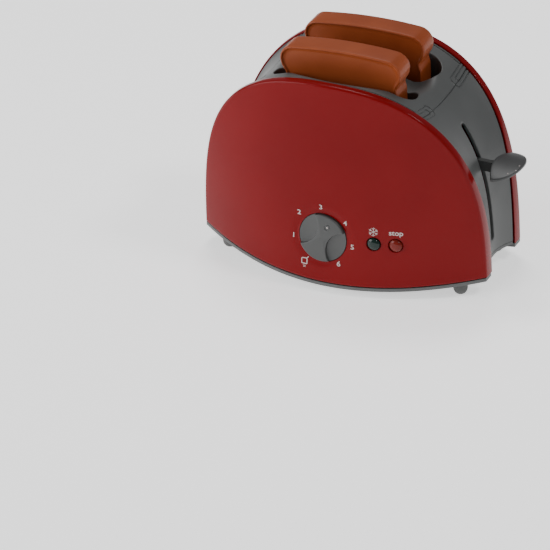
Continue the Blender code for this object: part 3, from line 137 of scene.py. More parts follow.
# Grooves in the gray skin
GROOVE_RADIUS = 0.00055
SEAM_GROOVE_RADIUS = 0.00050
SEAM_GROOVE_RISE = 0.0001
SEAM_GROOVE_HALF = 0.0166
WALL_LINE_RADIUS = 0.00022
WALL_LINE_RISE = 0.0020
WALL_LINE_HALF = 0.030
RIM_LINE_HALF = 0.0503
RIM_LINE_INSET = 0.0014
TAB_REACH = 0.0345
TAB_STEP = 0.0012

# Nested snap tabs: near x, far x, y of the tip, corner radius
TABS = ((0.0503, 0.0562, 0.0166, 0.0022), (0.0521, 0.0545, 0.0204, 0.0009))

# How finely the curved skins are drawn
ARCH_STEPS = 180
FACE_ROWS = 120
WALL_ROWS = 72
WALL_COLUMNS = 48
TOP_ROWS = 120
TOP_COLUMNS = 84
COIL_STEPS = 16

# Bread slices
SLICE_HALF = 0.0380
SLICE_TOP = 0.1417
SLICE_BOTTOM = 0.0655
SLICE_CROWN = 0.0016
SLICE_CORNER = 0.0088
SLICE_CHEEK = 0.0040
SLICE_CHEEK_IN = 0.0009
SLICE_WAIST = 0.0034
SLICE_WAIST_DROP = 0.0088
SLICE_BODY = 0.0027
SLICE_BODY_DROP = 0.0130
SLICE_FOOT = 0.0050
SLICE_THICKNESS = 0.0145
SLICE_TIP = 1.6
SLICE_PIVOT = 0.1300
SLICE_FACET_SHARES = (0.12, 0.5, 0.88)
SLICE_FACET_DIP_SHARE = 0.010

# The slice's raised rim, from its edge inward: inset from the outline, drop below the face
SLICE_RIM = ((0, 0.0011), (0.00006, 0.0007), (0.00025, 0.0003), (0.00055, 0.0001), (0.00085, 0),
             (0.00115, 0.0001), (0.0014, 0.0003), (0.0016, 0.0007), (0.0018, 0.0009))

# Lever paddle
PADDLE_CORNER_X = 0.0895
PADDLE_CORNER_Z = 0.0730
PADDLE_HALF_Y = 0.0180
PADDLE_INNER_BOW = 0.0045
PADDLE_OUTER_BOW = 0.0137
PADDLE_CROWN = 0.0038
PADDLE_PLATE = 0.0021
PADDLE_BLUNT = 1.2
PADDLE_SHARE = 0.945
PADDLE_ROUND = 0.0007
SOCKET_START = 0.0847
SOCKET_END = 0.0935
SOCKET_HALF_Y = 0.0028
SOCKET_BOTTOM = 0.0686
SOCKET_TOP = 0.0750
SOCKET_SOFT = 0.0005
PADDLE_DOTS = ((0.0976, -0.0107), (0.1011, -0.0070), (0.1013, -0.0022))
PADDLE_DOT_PROFILE = ((0, 0.00010), (0.0003, 0.00007), (0.00042, 0), (0.00042, -0.0003), (0, -0.0003))

# Dial
DIAL_X = -0.0010
DIAL_Z = 0.0345
DIAL_RADIUS = 0.0147
DIAL_PROUD = 0.0010
DIAL_BACK = -0.0022
DIAL_CHAMFER = 0.0009
DIAL_POINTER = 25.0
DIAL_SOFT = 0.0003
SCOOP_RADIUS = 0.0125
SCOOP_OFFSET = 0.0166
SCOOP_DEPTH = 0.0020
SCOOP_SOFT = 0.0004
FLANGE_SPAN = (-0.0078, -0.0062)
FLANGE_RADIUS = 0.0049
PLUNGER_RADIUS = 0.0013
POINTER_PLACE = 0.0082
POINTER_RADIUS = 0.0017
POINTER_LINE = 0.00022
POINTER_DOT = ((0, 0.0001), (0.00045, 0.00006), (0.0006, -0.0002), (0, -0.0002))
DIP_RADIUS = 0.0205
DIP_DEPTH = 0.0008
WELL_GAP = 0.0004
WELL_DEPTH = 0.0028
WELL_CUT_TOP = 0.004
SEAT_WALL = 0.0012
SEAT_INNER_DROP = 0.0012
SEAT_OUTER_DROP = 0.0016
SEAT_FLOOR = 0.0010

# Printed marks
PRINT_STEP = 0.0006
PRINT_RISE = 0.00013
NUMBERS = ((-0.0187, -0.0025), (-0.0151, 0.0128), (-0.0012, 0.0189), (0.0141, 0.0115), (0.0186, -0.0028),
           (0.0104, -0.0147))
NUMBER_SIZE = 0.0042
NUMBER_WIDE_SHARE = 1.2
BREAD_SIGN_PLACE = (-0.0113, -0.0168)
BREAD_SIGN_SIZE = 0.0017
BREAD_SIGN_LINE = 0.00050
BREAD_SIGN_UNDERLINE = 0.00026
SNOW_PLACE = (0.0299, 0.0430)
SNOW_ARM = 0.0028
SNOW_TWIG = 0.0012
SNOW_TWIG_SHARE = 0.55
SNOW_LINE = 0.00030
STOP_WORD_PLACE = (0.0428, 0.0431)
STOP_WORD_SIZE = 0.0044
STOP_WORD_WIDE_SHARE = 1.05

# Buttons
BUTTON_Z = 0.0352
DEFROST_X = 0.0300
STOP_X = 0.0425
BUTTON_RADIUS = 0.0039
BUTTON_PROUD = 0.0017
BUTTON_RIM = -0.0002

# Coils for the lever's and the buttons' springs: node, joint, its travel, turns, wire
COILS = (("lift_spring_front", "lever_slide", 0.0440, 10, 0.00045),
         ("lift_spring_rear", "lever_slide", 0.0440, 10, 0.00045),
         ("defrost_spring", "defrost_press", 0.0020, 4, 0.00025),
         ("stop_spring", "stop_press", 0.0020, 4, 0.00025))

# Camera: where the photograph was taken from, fitted to the shell's outline
VIEW_AZIMUTH = 25.13
VIEW_ELEVATION = 28.88
VIEW_DISTANCE = 2.7002
VIEW_ROLL = 0.02987
VIEW_TARGET = (0.003184, 0.0, 0.066051)
VIEW_FOCAL_PIXELS = 4645.0
VIEW_AXIS_PIXEL = (365.0, 150.0)
PHOTO_PIXELS = 550.0
SENSOR_MM = 36.0
CLIP_START = 0.05
CLIP_END = 50.0

# Studio lights: name, place, size, power
LIGHTS = (("top", (-0.3, 0.5, 1.4), (0.5, 0.4), 8), ("left", (-1.5, -1.1, 0.7), (1.5, 1.1), 32),
          ("right", (1.5, 0.1, 0.6), (0.9, 0.9), 0.5), ("rim", (0.75, 0.0, 1.0), (0.20, 0.20), 4.0))
LIGHT_TARGET = (0, 0, 0.06)
FLOOR_HALF = 6.0

# Depth of each surface's grain
RED_GRAIN = 0.00003
SATIN_GRAIN = 0.00004
BREAD_GRAIN = 0.00006
SMALL_GRAIN = 0.00005
PRINT_GRAIN = 0.00002


# Materials
def new_material(name, colour, roughness, **sockets):
    made = bpy.data.materials.new(name)
    made.use_nodes = True
    shader = made.node_tree.nodes["Principled BSDF"]
    shader.inputs["Base Color"].default_value = (*colour, 1)
    shader.inputs["Roughness"].default_value = roughness
    for socket, value in sockets.items():
        shader.inputs[socket.replace("_", " ")].default_value = value
    return made


def grain(made, scale, height, distance, dark, light, broad_scale=None):
    """A fine moulded grain from object-space noise, with a slow drift between two tones"""
    nodes, links = made.node_tree.nodes, made.node_tree.links
    shader = nodes["Principled BSDF"]
    place = nodes.new("ShaderNodeTexCoord")
    noise = nodes.new("ShaderNodeTexNoise")
    noise.inputs["Scale"].default_value = scale
    noise.inputs["Detail"].default_value = 3.0
    links.new(place.outputs["Object"], noise.inputs["Vector"])
    bump = nodes.new("ShaderNodeBump")
    bump.inputs["Strength"].default_value = height
    bump.inputs["Distance"].default_value = distance
    links.new(noise.outputs["Fac"], bump.inputs["Height"])
    links.new(bump.outputs["Normal"], shader.inputs["Normal"])
    broad = nodes.new("ShaderNodeTexNoise")
    broad.inputs["Scale"].default_value = broad_scale or scale / 30
    links.new(place.outputs["Object"], broad.inputs["Vector"])
    ramp = nodes.new("ShaderNodeValToRGB")
    for end, position, tone in zip(ramp.color_ramp.elements, (0.35, 0.65), (dark, light)):
        end.position = position
        end.color = (*tone, 1)
    links.new(broad.outputs["Fac"], ramp.inputs["Fac"])
    links.new(ramp.outputs["Color"], shader.inputs["Base Color"])
    return made


RED = grain(new_material("red_gloss", (0.17, 0.0045, 0.0062), 0.15, Specular_IOR_Level=0.10),
            350, 0.04, RED_GRAIN, (0.158, 0.0036, 0.0050), (0.180, 0.0050, 0.0064), broad_scale=14)
GRAY = grain(new_material("gray_satin", (0.070, 0.073, 0.072), 0.46), 2600, 0.16, SATIN_GRAIN,
             (0.066, 0.069, 0.068), (0.075, 0.078, 0.077), broad_scale=40)
DIAL = grain(new_material("dial_satin", (0.060, 0.064, 0.062), 0.38), 2600, 0.10, SATIN_GRAIN,
             (0.041, 0.043, 0.042), (0.046, 0.048, 0.047), broad_scale=60)
PADDLE = grain(new_material("paddle_satin", (0.036, 0.037, 0.037), 0.45), 2600, 0.12, SATIN_GRAIN,
               (0.033, 0.034, 0.034), (0.039, 0.040, 0.040), broad_scale=60)
DARK = grain(new_material("stem_satin", (0.030, 0.031, 0.030), 0.42), 2600, 0.1, SATIN_GRAIN,
             (0.026, 0.027, 0.026), (0.034, 0.035, 0.034), broad_scale=60)
BREAD = grain(new_material("bread_satin", (0.250, 0.046, 0.008), 0.42, Specular_IOR_Level=0.22),
              1100, 0.12, BREAD_GRAIN, (0.238, 0.047, 0.0125), (0.272, 0.057, 0.0158), broad_scale=45)
GREEN = grain(new_material("green_gloss", (0.004, 0.014, 0.011), 0.10, Specular_IOR_Level=0.3),
              300, 0.01, SMALL_GRAIN, (0.003, 0.012, 0.010), (0.005, 0.017, 0.013))
STOP_RED = grain(new_material("stop_gloss", (0.12, 0.008, 0.005), 0.12, Specular_IOR_Level=0.2),
                 300, 0.01, SMALL_GRAIN, (0.12, 0.009, 0.005), (0.14, 0.012, 0.008))
RUBBER = grain(new_material("foot_rubber", (0.075, 0.076, 0.074), 0.6), 1500, 0.15, SMALL_GRAIN,
               (0.068, 0.069, 0.067), (0.084, 0.085, 0.083))
STEEL = grain(new_material("steel", (0.5, 0.5, 0.51), 0.3, Metallic=1.0), 2500, 0.05, SMALL_GRAIN,
              (0.47, 0.47, 0.48), (0.53, 0.53, 0.54))
WHITE = grain(new_material("white_nylon", (0.6, 0.59, 0.56), 0.45), 1500, 0.08, SMALL_GRAIN,
              (0.57, 0.56, 0.53), (0.63, 0.62, 0.59))
# The pale colour of the printed marks; on the dial's pointer dot the same pale colour is a painted highlight
PRINT_AND_HIGHLIGHT = grain(new_material("print_white_and_highlight", (0.52, 0.46, 0.44), 0.5), 2500, 0.05, PRINT_GRAIN,
              (0.47, 0.41, 0.39), (0.57, 0.51, 0.49), broad_scale=300)

# The look of each CAD node, by the first of these words in its name; the others are gray
NODE_LOOKS = {"shell": RED, "foot": RUBBER, "bread": BREAD, "screw": STEEL, "rod": STEEL, "spring": STEEL,
              "pin": STEEL, "plate": STEEL, "shaft": STEEL, "gear": WHITE, "cam": WHITE, "wheel": WHITE,
              "guide": WHITE, "latch": WHITE, "defrost": GREEN, "stop": STOP_RED, "dial": DIAL,
              "carriage": DARK}


# Mesh helpers
def mesh_object(name, points, faces, merge=0.0):
    mesh = bpy.data.meshes.new(name)
    mesh.from_pydata([tuple(point) for point in points], [], faces)
    work = bmesh.new()
    work.from_mesh(mesh)
    if merge:
        bmesh.ops.remove_doubles(work, verts=work.verts, dist=merge)
    bmesh.ops.recalc_face_normals(work, faces=work.faces)
    work.to_mesh(mesh)
    work.free()
    made = bpy.data.objects.new(name, mesh)
    bpy.context.scene.collection.objects.link(made)
    return made


def ring_faces(rings, count):
    """Faces between closed loops of points that follow each other"""
    faces = []
    for ring in range(rings - 1):
        low, high = ring * count, (ring + 1) * count
        for step in range(count):
            after = (step + 1) % count
            faces.append((low + step, low + after, high + after, high + step))
    return faces


def loft(name, loops, caps=True):
    """Skin between closed loops; the ends are closed by strips between mirrored points"""
    count = len(loops[0])
    points = [point for loop in loops for point in loop]
    faces = ring_faces(len(loops), count)
    last = (len(loops) - 1) * count
    for base in (0, last) if caps else ():
        for step in range(count // 2):
            corners = [base + step, base + step + 1, base + count - step - 1, base + (count - step) % count]
            faces.append(tuple(dict.fromkeys(corners)))
    return mesh_object(name, points, faces)


def block(name, low, high):
    corners = ((low[0], low[1]), (high[0], low[1]), (high[0], high[1]), (low[0], high[1]))
    points = [(x, y, level) for level in (low[2], high[2]) for x, y in corners]
    faces = [(0, 1, 2, 3), (7, 6, 5, 4)]
    faces += [(step, (step + 1) % 4, 4 + (step + 1) % 4, 4 + step) for step in range(4)]
    return mesh_object(name, points, faces)


def grid_faces(rows, columns, start=0, flip=False):
    faces = []
    for row in range(rows - 1):
        for column in range(columns - 1):
            a = start + row * columns + column
            quad = (a, a + 1, a + columns + 1, a + columns)
            faces.append(tuple(reversed(quad)) if flip else quad)
    return faces


def slab(name, outer, inner):
    """A curved plate between two matching grids of points"""
    rows, columns = len(outer), len(outer[0])
    points = [point for grid in (outer, inner) for row in grid for point in row]
    half = rows * columns
    faces = grid_faces(rows, columns) + grid_faces(rows, columns, half, flip=True)
    rim = list(range(columns - 1))
    rim += [row * columns + columns - 1 for row in range(rows - 1)]
    rim += [half - 1 - column for column in range(columns - 1)]
    rim += [(rows - 1 - row) * columns for row in range(rows - 1)]
    for step, corner in enumerate(rim):
        after = rim[(step + 1) % len(rim)]
        faces.append((after, corner, half + corner, half + after))
    return mesh_object(name, points, faces)


def turned(name, profile, steps=64):
    """A lathe shape about Z from (radius, z) points"""
    points = []
    rings = []
    for radius, z in profile:
        if radius == 0:
            rings.append([len(points)] * steps)
            points.append((0, 0, z))
        else:
            rings.append([len(points) + step for step in range(steps)])
            points += [(radius * cos(2 * pi * step / steps), radius * sin(2 * pi * step / steps), z)
                       for step in range(steps)]
    faces = []
    for low, high in zip(rings, rings[1:]):
        for step in range(steps):
            after = (step + 1) % steps
            corners = (low[step], low[after], high[after], high[step])
            faces.append(tuple(dict.fromkeys(corners)))
    return mesh_object(name, points, [face for face in faces if len(face) > 2])


def rod(name, radius, start, end, steps=32):
    return turned(name, ((0, start), (radius, start), (radius, end), (0, end)), steps)


def tube(name, path, radius, steps=8, closed=False):
    """A round tube along a list of points, for grooves, wires and printed lines"""
    path = [Vector(point) for point in path]
    count = len(path)
    loops = []
    for index, point in enumerate(path):
        before = path[index - 1] if closed or index else point
        after = path[(index + 1) % count] if closed or index < count - 1 else point
        along = (after - before).normalized()
        side = along.cross(Vector((0, 0, 1)))
        if side.length < 0.1:
            side = along.cross(Vector((0, 1, 0)))
        side.normalize()
        up = side.cross(along)
        turns = [2 * pi * step / steps for step in range(steps)]
        loops.append([point + side * radius * cos(turn) + up * radius * sin(turn) for turn in turns])
    if closed:
        loops.append(loops[0])
    made = loft(name, loops, caps=not closed)
    if closed:
        work = bmesh.new()
        work.from_mesh(made.data)
        bmesh.ops.remove_doubles(work, verts=work.verts, dist=WELD_FINE)
        bmesh.ops.recalc_face_normals(work, faces=work.faces)
        work.to_mesh(made.data)
        work.free()
    return made


def placed(thing, matrix):
    thing.data.transform(matrix)
    return thing


def moved(thing, x, y, z=0):
    return placed(thing, Matrix.Translation((x, y, z)))


def boolean(thing, other, operation="DIFFERENCE"):
    """Cut or join at once, and drop the tool"""
    step = thing.modifiers.new("step", "BOOLEAN")
    step.operation = operation
    step.solver = "EXACT"
    step.object = other
    apply_modifiers(thing)
    bpy.data.objects.remove(other)
    return thing


def apply_modifiers(thing):
    bpy.context.view_layer.update()
    graph = bpy.context.evaluated_depsgraph_get()
    mesh = bpy.data.meshes.new_from_object(thing.evaluated_get(graph))
    thing.modifiers.clear()
    old = thing.data
    thing.data = mesh
    bpy.data.meshes.remove(old)
    return thing


def bevelled(thing, width):
    step = thing.modifiers.new("Edge", "BEVEL")
    step.width = width
    step.segments = 2
    step.limit_method = "ANGLE"
    step.angle_limit = radians(30)
    return apply_modifiers(thing)


def joined(name, things):
    """Several meshes as one piece"""
    work = bmesh.new()
    for thing in things:
        work.from_mesh(thing.data)
        bpy.data.objects.remove(thing)
    mesh = bpy.data.meshes.new(name)
    work.to_mesh(mesh)
    work.free()
    made = bpy.data.objects.new(name, mesh)
    bpy.context.scene.collection.objects.link(made)
    return made


def dressed(thing, look, body, slot, *nodes, angle=35.0):
    """Smooth a piece, shift it to the row's place, give it material and body, and hide the CAD nodes it
    stands for; the slot is not used
    """
    for face_ in thing.data.polygons:
        face_.use_smooth = True
    thing.data.set_sharp_from_angle(angle=radians(angle))
    moved(thing, -MIDDLE, 0)
    thing.data.materials.clear()
    thing.data.materials.append(look)
    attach(thing, body)
    if nodes:
        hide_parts(*nodes)
    return thing


# Outlines
def solve(test, low, high):
    for _ in range(45):
        middle = (low + high) / 2
        if test(middle) < 0:
            low = middle
        else:
            high = middle
    return (low + high) / 2


def inset_outline(outline, distance):
    """Move each corner of a counter-clockwise outline inward"""
    moved_points = []
    count = len(outline)
    for index, corner in enumerate(outline):
        here = Vector(corner)
        before = (here - Vector(outline[index - 1])).normalized()
        after = (Vector(outline[(index + 1) % count]) - here).normalized()
        inward = Vector((-before.y - after.y, before.x + after.x))
        reach = distance * 2 / max(inward.length_squared, 1)
        moved_points.append((corner[0] + inward.x * reach, corner[1] + inward.y * reach))
    return moved_points


def round_outline(radius, steps, x=0, y=0):
    return [(x + radius * cos(2 * pi * step / steps), y + radius * sin(2 * pi * step / steps))
            for step in range(steps)]


def race_track(radius, offset, steps=20, long_steps=24):
    """Outline of a bread slot: straight sides and round ends, counter-clockwise"""
    centre = SLOT_HALF_X - SLOT_HALF_Y
    points = []
    for side in (1, -1):
        for step in range(steps + 1):
            turn = pi * step / steps - pi / 2
            points.append((side * (centre + radius * cos(turn)), offset + side * radius * sin(turn)))
        for step in range(1, long_steps):
            share = 1 - 2 * step / long_steps
            points.append((side * centre * share, offset + side * radius))
    return points


def smooth_curve(points, steps):
    """A curve through the points, with the given number of steps between each two"""
    out = []
    last = len(points) - 1
    for index in range(last):
        a = Vector(points[max(index - 1, 0)])
        b, c = Vector(points[index]), Vector(points[index + 1])
        d = Vector(points[min(index + 2, last)])
        for step in range(steps):
            t = step / steps
            out.append(tuple(((2 * b) + (c - a) * t + (2 * a - 5 * b + 4 * c - d) * t * t
                              + (3 * b - a - 3 * c + d) * t ** 3) / 2))
    out.append(tuple(points[-1]))
    return out


# Body surfaces
def face(x, z):
    across = 1 - (2 * x / LENGTH) ** 2
    return END_DEPTH + BELLY * across * (1 - LEAN_SHARE * (z - ARCH_BASE) / LENGTH)


def arch_point(turn, inset=0):
    across = abs(cos(turn)) ** (2 / ARCH_POWER_ACROSS)
    up = abs(sin(turn)) ** (2 / ARCH_POWER_UP)
    side = copysign(1, cos(turn))
    slope_x = side * ARCH_POWER_ACROSS * across ** (ARCH_POWER_ACROSS - 1) * 2 / LENGTH
    slope_z = ARCH_POWER_UP * up ** (ARCH_POWER_UP - 1) / ARCH_HEIGHT
    size = hypot(slope_x, slope_z)
    x = side * across * LENGTH / 2 - inset * slope_x / size
    return x, ARCH_BASE + up * ARCH_HEIGHT - inset * slope_z / size


def arch_level(x, inset=0):
    turn = solve(lambda angle: abs(x) - arch_point(angle, inset)[0], 0, pi / 2)
    return arch_point(turn, inset)[1]


def edge_level(x, middle):
    return middle + EDGE_RISE * (2 * x / LENGTH) ** 2


def skirt_depth(x):
    return SHELL_SKIRT + SKIRT_GAIN * min(abs(2 * x / LENGTH), 1) ** SKIRT_POWER


def frame_half(x, z):
    return face(x, z) - skirt_depth(x) - GAP


def frame_inset(y, half, z):
    height = max(z - ARCH_BASE, 0) / ARCH_HEIGHT
    middle = FRAME_MIDDLE_TOP + FRAME_MIDDLE_GAIN * (1 - height ** FRAME_MIDDLE_POWER)
    return FRAME_EDGE + (middle - FRAME_EDGE) * (1 - min(abs(y) / half, 1) ** 2)


def dish_drop(x, y):
    share = min(max((1 - hypot(x / DISH_HALF_X, y / DISH_HALF_Y)) / DISH_SLOPE_SHARE, 0), 1)
    return DISH_DEPTH * share * share * (3 - 2 * share)


def top_level(x, y):
    crown = arch_level(x)
    inset = frame_inset(y, frame_half(x, crown), crown)
    return arch_level(x, inset) - dish_drop(x, y)


def corner_turn(inset):
    """Where the arch meets the lower edge of the red shell"""

    def above_edge(turn):
        x, z = arch_point(turn, inset)
        return z - edge_level(x, RED_EDGE) - inset

    return solve(above_edge, 0, pi / 2)


MIDDLE = (PADDLE_CORNER_X + PADDLE_OUTER_BOW - arch_point(corner_turn(0))[0]) / 2


# Side shells
def even_turns():
    """Angles that share the arch into steps of even length"""
    start = corner_turn(0)
    fine = 4000
    turns = [start + (pi - 2 * start) * step / fine for step in range(fine + 1)]
    points = [Vector(arch_point(turn)) for turn in turns]
    along = [0.0]
    for before, after in zip(points, points[1:]):
        along.append(along[-1] + (after - before).length)
    out = []
    index = 0
    for step in range(ARCH_STEPS + 1):
        target = along[-1] * step / ARCH_STEPS
        while index < fine and along[index + 1] < target:
            index += 1
        after = min(index + 1, fine)
        share = (target - along[index]) / (along[after] - along[index]) if after > index else 0
        turn = turns[index] + (turns[after] - turns[index]) * share
        out.append((turn - start) / (pi - 2 * start))
    return out


TURN_SHARES = even_turns()


def arch_border(inset):
    """The arch from +X to -X and the lower edge below each of its points"""
    start = corner_turn(inset)
    over = [arch_point(start + (pi - 2 * start) * share, inset) for share in TURN_SHARES]
    under = [(x, edge_level(x, RED_EDGE) + inset) for x, _ in over]
    return over, under


def shell_loop(inset, depth, side):
    over, under = arch_border(inset)
    loop = over + list(reversed(under[1:-1]))
    return [(x, side * (face(x, z) - depth(x)), z) for x, z in loop]


def dial_lean():
    slope = BELLY * (1 - (2 * DIAL_X / LENGTH) ** 2) * LEAN_SHARE / LENGTH
    size = hypot(1, slope)
    return 1 / size, slope / size


def front_face(x, z):
    """The front shell's face, with the soft dip round the dial"""
    radius = hypot(x - DIAL_X, z - DIAL_Z)
    share = min(max((DIP_RADIUS - radius) / (DIP_RADIUS - DIAL_RADIUS), 0), 1)
    return face(x, z) - DIP_DEPTH * share * share * (3 - 2 * share)


def make_shell(name, side, surface):
    """A domed shell with a rounded rim, a wrapped skirt and a fine face"""
    rim = [(SHELL_ROUND * (1 - sin(turn)), SHELL_ROUND * (1 - cos(turn)))
           for turn in (pi / 2 * step / 6 for step in range(7))]
    loops = [shell_loop(inset, lambda x, d=depth: d, side) for inset, depth in rim]
    for step in range(5):
        turn = pi / 2 * step / 4
        inset = SHELL_LIP * (1 - cos(turn))
        short = SHELL_LIP * (1 - sin(turn))
        loops.append(shell_loop(inset, lambda x, s=short: skirt_depth(x) - s, side))
    loops.append(shell_loop(SHELL_LIP + SHELL_WALL, skirt_depth, side))
    loops.append(shell_loop(SHELL_WALL, lambda x: SHELL_WALL + SHELL_ROUND, side))
    count = len(loops[0])
    points = [point for loop in loops for point in loop]
    faces = ring_faces(len(loops), count)
    for inset, depth, flip in ((SHELL_ROUND, 0, False), (SHELL_WALL, SHELL_WALL + SHELL_ROUND, True)):
        over, under = arch_border(inset)
        start = len(points)
        rows = FACE_ROWS if not flip else 2
        shape = surface if not flip else face
        for (x, high_z), (_, low_z) in zip(over, under):
            for row in range(rows + 1):
                z = low_z + (high_z - low_z) * row / rows
                points.append((x, side * (shape(x, z) - depth), z))
        for quad in grid_faces(len(over), rows + 1, start):
            faces.append(quad)
    return mesh_object(name, points, faces, merge=WELD)


def lipped(name, outline, surface, place, round_, deep, reach=LIP_REACH, steps=4, stop=65.0):
    """A cutter with a flared mouth, which leaves a rounded edge round a hole in a curved skin"""
    loops = [[place(a, b, surface(a, b) - deep) for a, b in outline]]
    for step in range(steps + 1):
        turn = radians(stop) * step / steps
        grown = inset_outline(outline, -round_ * (1 - cos(turn)))
        loops.append([place(a, b, surface(a, b) - round_ * (1 - sin(turn))) for a, b in grown])
    turn = radians(stop)
    grown = inset_outline(outline, -round_ * (1 - cos(turn)) - reach * sin(turn))
    out = reach * cos(turn) - round_ * (1 - sin(turn))
    for more in (0, LIP_CLEAR):
        loops.append([place(a, b, surface(a, b) + out + more) for a, b in grown])
    return fan_loft(name, loops)


def fan_loft(name, loops):
    """Skin between closed loops, each end closed by a fan from its middle"""
    count = len(loops[0])
    points = [point for loop in loops for point in loop]
    faces = ring_faces(len(loops), count)
    for base in (0, (len(loops) - 1) * count):
        centre = sum((Vector(point) for point in points[base:base + count]), Vector()) / count
        points.append(centre)
        for step in range(count):
            faces.append((base + step, base + (step + 1) % count, len(points) - 1))
    return mesh_object(name, points, faces)


def make_shells():
    front = make_shell("red_front", -1, front_face)
    for x in (DEFROST_X, STOP_X):
        outline = round_outline(BUTTON_RADIUS + GAP, 48, x, BUTTON_Z)
        boolean(front, lipped("hole", outline, face, lambda a, b, c: (a, -c, b), BUTTON_LIP, BUTTON_CUT))
    well = DIAL_RADIUS + WELL_GAP
    cutter = rod("well", well, -WELL_DEPTH, WELL_CUT_TOP, 128)
    boolean(front, placed(cutter, dial_place()))
    wall = well + SEAT_WALL
    floor = -WELL_DEPTH - SEAT_FLOOR
    seat = turned("seat", [(0, -WELL_DEPTH), (well, -WELL_DEPTH), (well, -SEAT_INNER_DROP),
                           (wall, -SEAT_OUTER_DROP), (wall, floor), (0, floor)], 128)
    front = joined("red_front", [front, placed(seat, dial_place())])
    dressed(front, RED, "housing", "red_shell", "front_shell")
    dressed(make_shell("red_rear", 1, face), RED, "housing", "red_shell", "rear_shell")


# Gray frame: end walls and dished top
def wall_turn(inset, level=None):
    if level is None:
        return solve(lambda turn: SEAM_X + GAP / 2 - arch_point(turn, inset)[0], 0, pi / 2)
    return solve(lambda turn: arch_point(turn, inset)[1] - level, 0, pi / 2)


def wall_reach(y, z):
    """How far out the end wall's skin lies, and the level is kept"""
    x = arch_point(wall_turn(0, z))[0]
    inset = frame_inset(y, frame_half(x, z), z)
    return arch_point(wall_turn(inset, z), inset)[0]


def wall_grid(side, extra, rows, columns):
    low0, high0 = wall_turn(FRAME_EDGE, WALL_FOOT), wall_turn(FRAME_EDGE)
    grid = []
    for up in range(rows + 1):
        share = up / rows
        x, z = arch_point(low0 + (high0 - low0) * share)
        half = frame_half(x, z)
        row = []
        for step in range(columns + 1):
            y = half * (2 * step / columns - 1)
            inset = frame_inset(y, half, z) + extra
            low, high = wall_turn(inset, WALL_FOOT), wall_turn(inset)
            wall_x, wall_z = arch_point(low + (high - low) * share, inset)
            reach = frame_half(wall_x, wall_z)
            row.append((side * wall_x, min(max(y, -reach), reach), wall_z))
        grid.append(row)
    return grid


def groove(thing, path, radius):
    boolean(thing, tube("groove", path, radius))


def tab_path(side, end, outer, inner, tip, corner):
    """The snap tab's outline on the gray top, from the rim in and back out"""
    flat = [(outer, TAB_REACH), (outer, tip + corner)]
    flat += [(outer + corner * (1 - cos(turn)), tip + corner * (1 - sin(turn)))
             for turn in (pi / 2 * step / 5 for step in range(1, 6))]
    flat += [(inner - corner * (1 - sin(turn)), tip + corner * (1 - cos(turn)))
             for turn in (pi / 2 * step / 5 for step in range(0, 6))]
    flat.append((inner, TAB_REACH))
    fine = []
    for (ax, ay), (bx, by) in zip(flat, flat[1:]):
        parts = max(int(hypot(bx - ax, by - ay) / TAB_STEP), 1)
        fine += [(ax + (bx - ax) * k / parts, ay + (by - ay) * k / parts) for k in range(parts)]
    fine.append(flat[-1])
    return [(end * x, side * y, body_level(x, y)) for x, y in fine]


def body_level(x, y):
    """Height of the gray skin past the seam too, where the half width ends beside the shells"""
    crown = arch_level(x)
    inset = frame_inset(y, frame_half(x, crown), crown)
    return arch_level(x, inset)


def cut_tabs(thing, end):
    for side in (-1, 1):
        for tab in TABS:
            groove(thing, tab_path(side, end, *tab), GROOVE_RADIUS)
    ys = [-SEAM_GROOVE_HALF + 2 * SEAM_GROOVE_HALF * step / 40 for step in range(41)]
    seam = [(end * SEAM_X, y, body_level(SEAM_X, y) + SEAM_GROOVE_RISE) for y in ys]
    groove(thing, seam, SEAM_GROOVE_RADIUS)


def slit_outline():
    """The lever's slit: straight sides and round ends"""
    half = SLIT_WIDTH / 2
    levels = 36
    arc = [pi * step / 16 for step in range(17)]
    top, bottom = SLIT_TOP - half, SLIT_BOTTOM + half
    outline = [(half * cos(turn), top + half * sin(turn)) for turn in arc]
    outline += [(-half, top + (bottom - top) * step / levels) for step in range(1, levels)]
    outline += [(-half * cos(turn), bottom - half * sin(turn)) for turn in arc]
    outline += [(half, bottom + (top - bottom) * step / levels) for step in range(1, levels)]
    return outline


def make_walls():
    for end, side in (("right", 1), ("left", -1)):
        wall = slab(f"gray_wall_{end}", wall_grid(side, 0, WALL_ROWS, WALL_COLUMNS),
                    wall_grid(side, FRAME_WALL, WALL_ROWS, WALL_COLUMNS))
        if side > 0:
            outline = slit_outline()
            boolean(wall, lipped("slit", outline, wall_reach, lambda a, b, c: (c, a, b), SLIT_LIP, SLIT_CUT))
        level = WALL_FOOT + WALL_LINE_RISE
        ys = [-WALL_LINE_HALF + 2 * WALL_LINE_HALF * step / 40 for step in range(41)]
        groove(wall, [(side * wall_reach(y, level), y, level) for y in ys], WALL_LINE_RADIUS)
        cut_tabs(wall, side)
        dressed(wall, GRAY, "housing", "gray_frame", f"end_wall_{end}")


